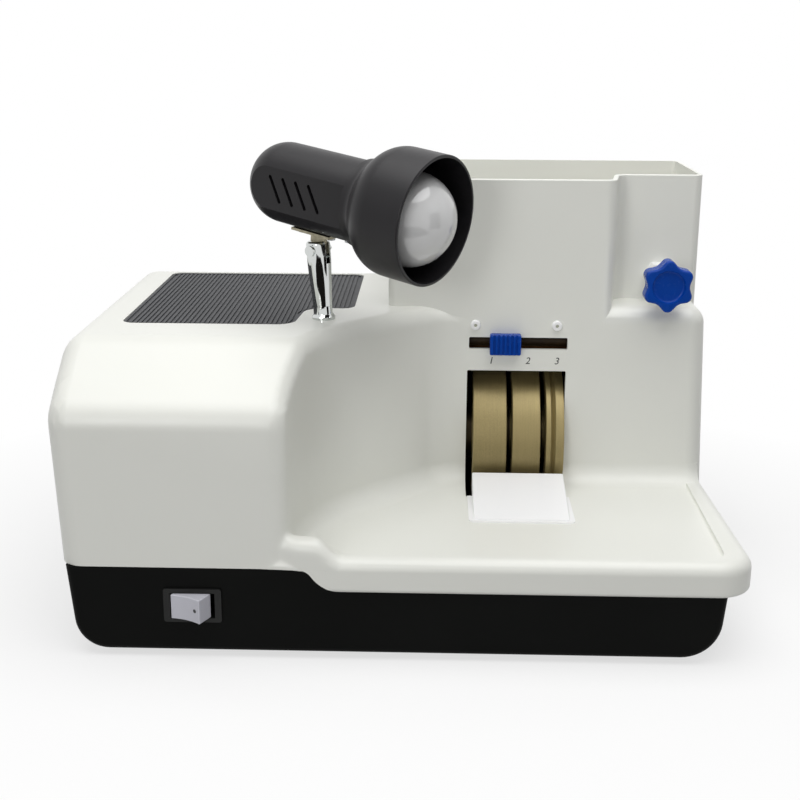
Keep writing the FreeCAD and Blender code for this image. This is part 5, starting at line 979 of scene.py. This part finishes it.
class EDGER_OT_small_marks(bpy.types.Operator):
    """Add flat discs with painted shade for the dimples of the two wall screws, and the dot on
    the switch
    """
    bl_idname = "edger.small_marks"
    bl_label = "Small Marks"

    def execute(self, context):
        low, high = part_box("guide_screws")
        head = (high.z - low.z) / 2
        level = (low.z + high.z) / 2
        shade = dimple_shade()
        # Flat discs at the screw heads' centres carry painted shade for their dimples
        for side, across in (("left", low.x + head), ("right", high.x - head)):
            self.add_spot(context, "screw_dimple_shade_" + side, (across, low.y, level), head * 0.34,
                          shade, "housing")
        low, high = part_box("switch_rocker")
        across = low.x + (high.x - low.x) * 0.65
        level = low.z + (high.z - low.z) * 0.50
        dot_radius = 1.2 * MM
        self.add_spot(context, "switch_dot", (across, low.y, level), dot_radius, printed_ink(),
                      "rocker")
        return {"FINISHED"}

    def add_spot(self, context, name, place, radius, material, body):
        """A thin round spot on whatever lies behind the place."""
        before = Vector((0, 20 * MM, 0))
        hit, spot, normal = context.scene.ray_cast(
            context.evaluated_depsgraph_get(), Vector(place) - before, Vector((0, 1, 0)))[:3]
        if not hit:
            raise RuntimeError("nothing to put " + name + " on")
        bpy.ops.object.select_all(action="DESELECT")
        bpy.ops.mesh.primitive_cylinder_add(
            vertices=32, radius=radius, depth=0.08 * MM, location=spot,
            rotation=normal.to_track_quat("Z", "Y").to_euler())
        mark = context.object
        rest_at_origin(mark, name)
        dress(mark, material)
        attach(mark, body)


# Name, place, size and lean in degrees of each dark card
CARDS = (
    ("front_card", (0.03, -0.92, 0.002), (0.95, 1.0), (0, 0, 0)),
    ("right_card", (0.80, -0.45, 0.20), (0.45, 0.6), (90, 0, 60)),
    ("left_card", (-0.88, -0.72, 0.20), (0.16, 0.6), (90, 0, -52)))


class EDGER_OT_studio(bpy.types.Operator):
    """Set the camera, the floor, the surround and the lamps"""
    bl_idname = "edger.studio"
    bl_label = "Studio"

    def execute(self, context):
        studio = context.scene.edger_studio
        self.add_camera(context, studio)
        self.add_floor(context, studio)
        self.add_cards(context, studio)
        self.add_surround(context, studio)
        self.add_lamp(context, "top_lamp", place=(0.05, -0.2, 1.25), aim=(0, 0, 0.1), size=1.5,
                      power=studio.top_power)
        self.add_lamp(context, "front_lamp", place=(-0.42, -1.3, 0.52), aim=(0, 0, 0.12),
                      size=0.4, power=studio.front_power)
        context.scene.view_settings.view_transform = "Standard"
        return {"FINISHED"}

    def add_camera(self, context, studio):
        yaw, pitch, roll = studio.camera_yaw, studio.camera_pitch, studio.camera_roll
        ahead = Vector((-math.sin(yaw) * math.cos(pitch), math.cos(yaw) * math.cos(pitch),
                        -math.sin(pitch)))
        right = Vector((math.cos(yaw), math.sin(yaw), 0))
        up = right.cross(ahead)
        across = right * math.cos(roll) + up * math.sin(roll)
        upright = up * math.cos(roll) - right * math.sin(roll)
        turn = Matrix((across, upright, -ahead)).transposed()
        bpy.ops.object.camera_add(location=studio.camera_place, rotation=turn.to_euler())
        camera = context.object
        camera.name = "studio_camera"
        camera.data.sensor_width = 36
        camera.data.lens = studio.camera_lens
        context.scene.camera = camera

    def add_floor(self, context, studio):
        """Pale floor: white where it is seen from afar, shaded close to the object."""
        bpy.ops.mesh.primitive_plane_add(size=24)
        floor = context.object
        floor.name = "studio_floor"
        finish = Finish("studio_floor", studio.floor_colour, rough=0.9)
        finish.set("Specular IOR Level", 0.0)
        tree = finish.tree
        path = tree.nodes.new("ShaderNodeLightPath")
        seen = (Wire(finish, path.outputs["Is Camera Ray"])
                + Wire(finish, path.outputs["Is Glossy Ray"])
                + Wire(finish, path.outputs["Is Transmission Ray"]))
        finish.tint(seen, studio.floor_seen)
        away = finish.node("ShaderNodeVectorMath", {"operation": "LENGTH"}, output=1,
                           Vector=finish.place(stretch=(1, 1.2, 0)))
        white = tree.nodes.new("ShaderNodeEmission")
        white.inputs["Color"].default_value = (1, 1, 1, 1)
        white.inputs["Strength"].default_value = 1.0
        mix = tree.nodes.new("ShaderNodeMixShader")
        finish.feed(mix.inputs["Fac"], seen * finish.ramp(away, [(0.24, 0.66), (0.5, 1.0)]))
        tree.links.new(finish.shader.outputs[0], mix.inputs[1])
        tree.links.new(white.outputs[0], mix.inputs[2])
        tree.links.new(mix.outputs[0], tree.nodes["Material Output"].inputs["Surface"])
        dress(floor, finish.material)

    def add_cards(self, context, studio):
        """Dark cards outside the picture, which only reflections show."""
        finish = Finish("studio_card", studio.card_colour, rough=0.9)
        finish.set("Specular IOR Level", 0.0)
        for name, place, size, lean in CARDS:
            bpy.ops.mesh.primitive_plane_add(size=1, location=place,
                                             rotation=[math.radians(part) for part in lean])
            card = context.object
            card.name = name
            card.scale = (*size, 1)
            bpy.ops.object.transform_apply(location=False, rotation=False, scale=True)
            dress(card, finish.material)
            card.visible_camera = False
            card.visible_diffuse = False
            card.visible_shadow = False

    def add_surround(self, context, studio):
        world = bpy.data.worlds.new("studio_surround")
        context.scene.world = world
        world.use_nodes = True
        tree = world.node_tree
        tree.nodes.clear()
        output = tree.nodes.new("ShaderNodeOutputWorld")
        path = tree.nodes.new("ShaderNodeLightPath")
        lit = tree.nodes.new("ShaderNodeBackground")
        lit.inputs["Strength"].default_value = studio.surround
        shown = tree.nodes.new("ShaderNodeBackground")
        for background in (lit, shown):
            background.inputs["Color"].default_value = (1, 1, 1, 1)
        seen = path.outputs["Is Camera Ray"]
        for other in ("Is Glossy Ray", "Is Transmission Ray"):
            total = tree.nodes.new("ShaderNodeMath")
            total.use_clamp = True
            tree.links.new(seen, total.inputs[0])
            tree.links.new(path.outputs[other], total.inputs[1])
            seen = total.outputs[0]
        mix = tree.nodes.new("ShaderNodeMixShader")
        tree.links.new(seen, mix.inputs[0])
        tree.links.new(lit.outputs[0], mix.inputs[1])
        tree.links.new(shown.outputs[0], mix.inputs[2])
        tree.links.new(mix.outputs[0], output.inputs["Surface"])

    def add_lamp(self, context, name, place, aim, size, power):
        bpy.ops.object.light_add(type="AREA", location=place)
        lamp = context.object
        lamp.name = name
        lamp.data.shape = "DISK"
        lamp.data.size = size
        lamp.data.energy = power
        line = Vector(aim) - Vector(place)
        lamp.rotation_euler = line.to_track_quat("-Z", "Y").to_euler()


class EDGER_PT_looks(bpy.types.Panel):
    """Buttons in the order in which they are used"""
    bl_idname = "EDGER_PT_looks"
    bl_label = "Lens Edger"
    bl_space_type = "VIEW_3D"
    bl_region_type = "UI"
    bl_category = "Lens Edger"

    def draw(self, context):
        for operator in OPERATORS:
            self.layout.operator(operator.bl_idname)


OPERATORS = (EDGER_OT_housing, EDGER_OT_table_end, EDGER_OT_post, EDGER_OT_lamp,
             EDGER_OT_wheels, EDGER_OT_water, EDGER_OT_motor, EDGER_OT_numerals,
             EDGER_OT_small_marks, EDGER_OT_studio)
SETTINGS = {"edger_studio": StudioSettings, "edger_finish": FinishSettings,
            "edger_post": PostSettings, "edger_table_end": TableEndSettings,
            "edger_marks": MarkSettings}


def register():
    for group in SETTINGS.values():
        bpy.utils.register_class(group)
    for operator in OPERATORS:
        bpy.utils.register_class(operator)
    bpy.utils.register_class(EDGER_PT_looks)
    for name, group in SETTINGS.items():
        setattr(bpy.types.Scene, name, bpy.props.PointerProperty(type=group))


def unregister():
    for name in SETTINGS:
        delattr(bpy.types.Scene, name)
    bpy.utils.unregister_class(EDGER_PT_looks)
    for operator in reversed(OPERATORS):
        bpy.utils.unregister_class(operator)
    for group in reversed(SETTINGS.values()):
        bpy.utils.unregister_class(group)


def main():
    register()
    for operator in OPERATORS:
        group, name = operator.bl_idname.split(".")
        getattr(getattr(bpy.ops, group), name)()


if __name__ == "__main__":
    main()
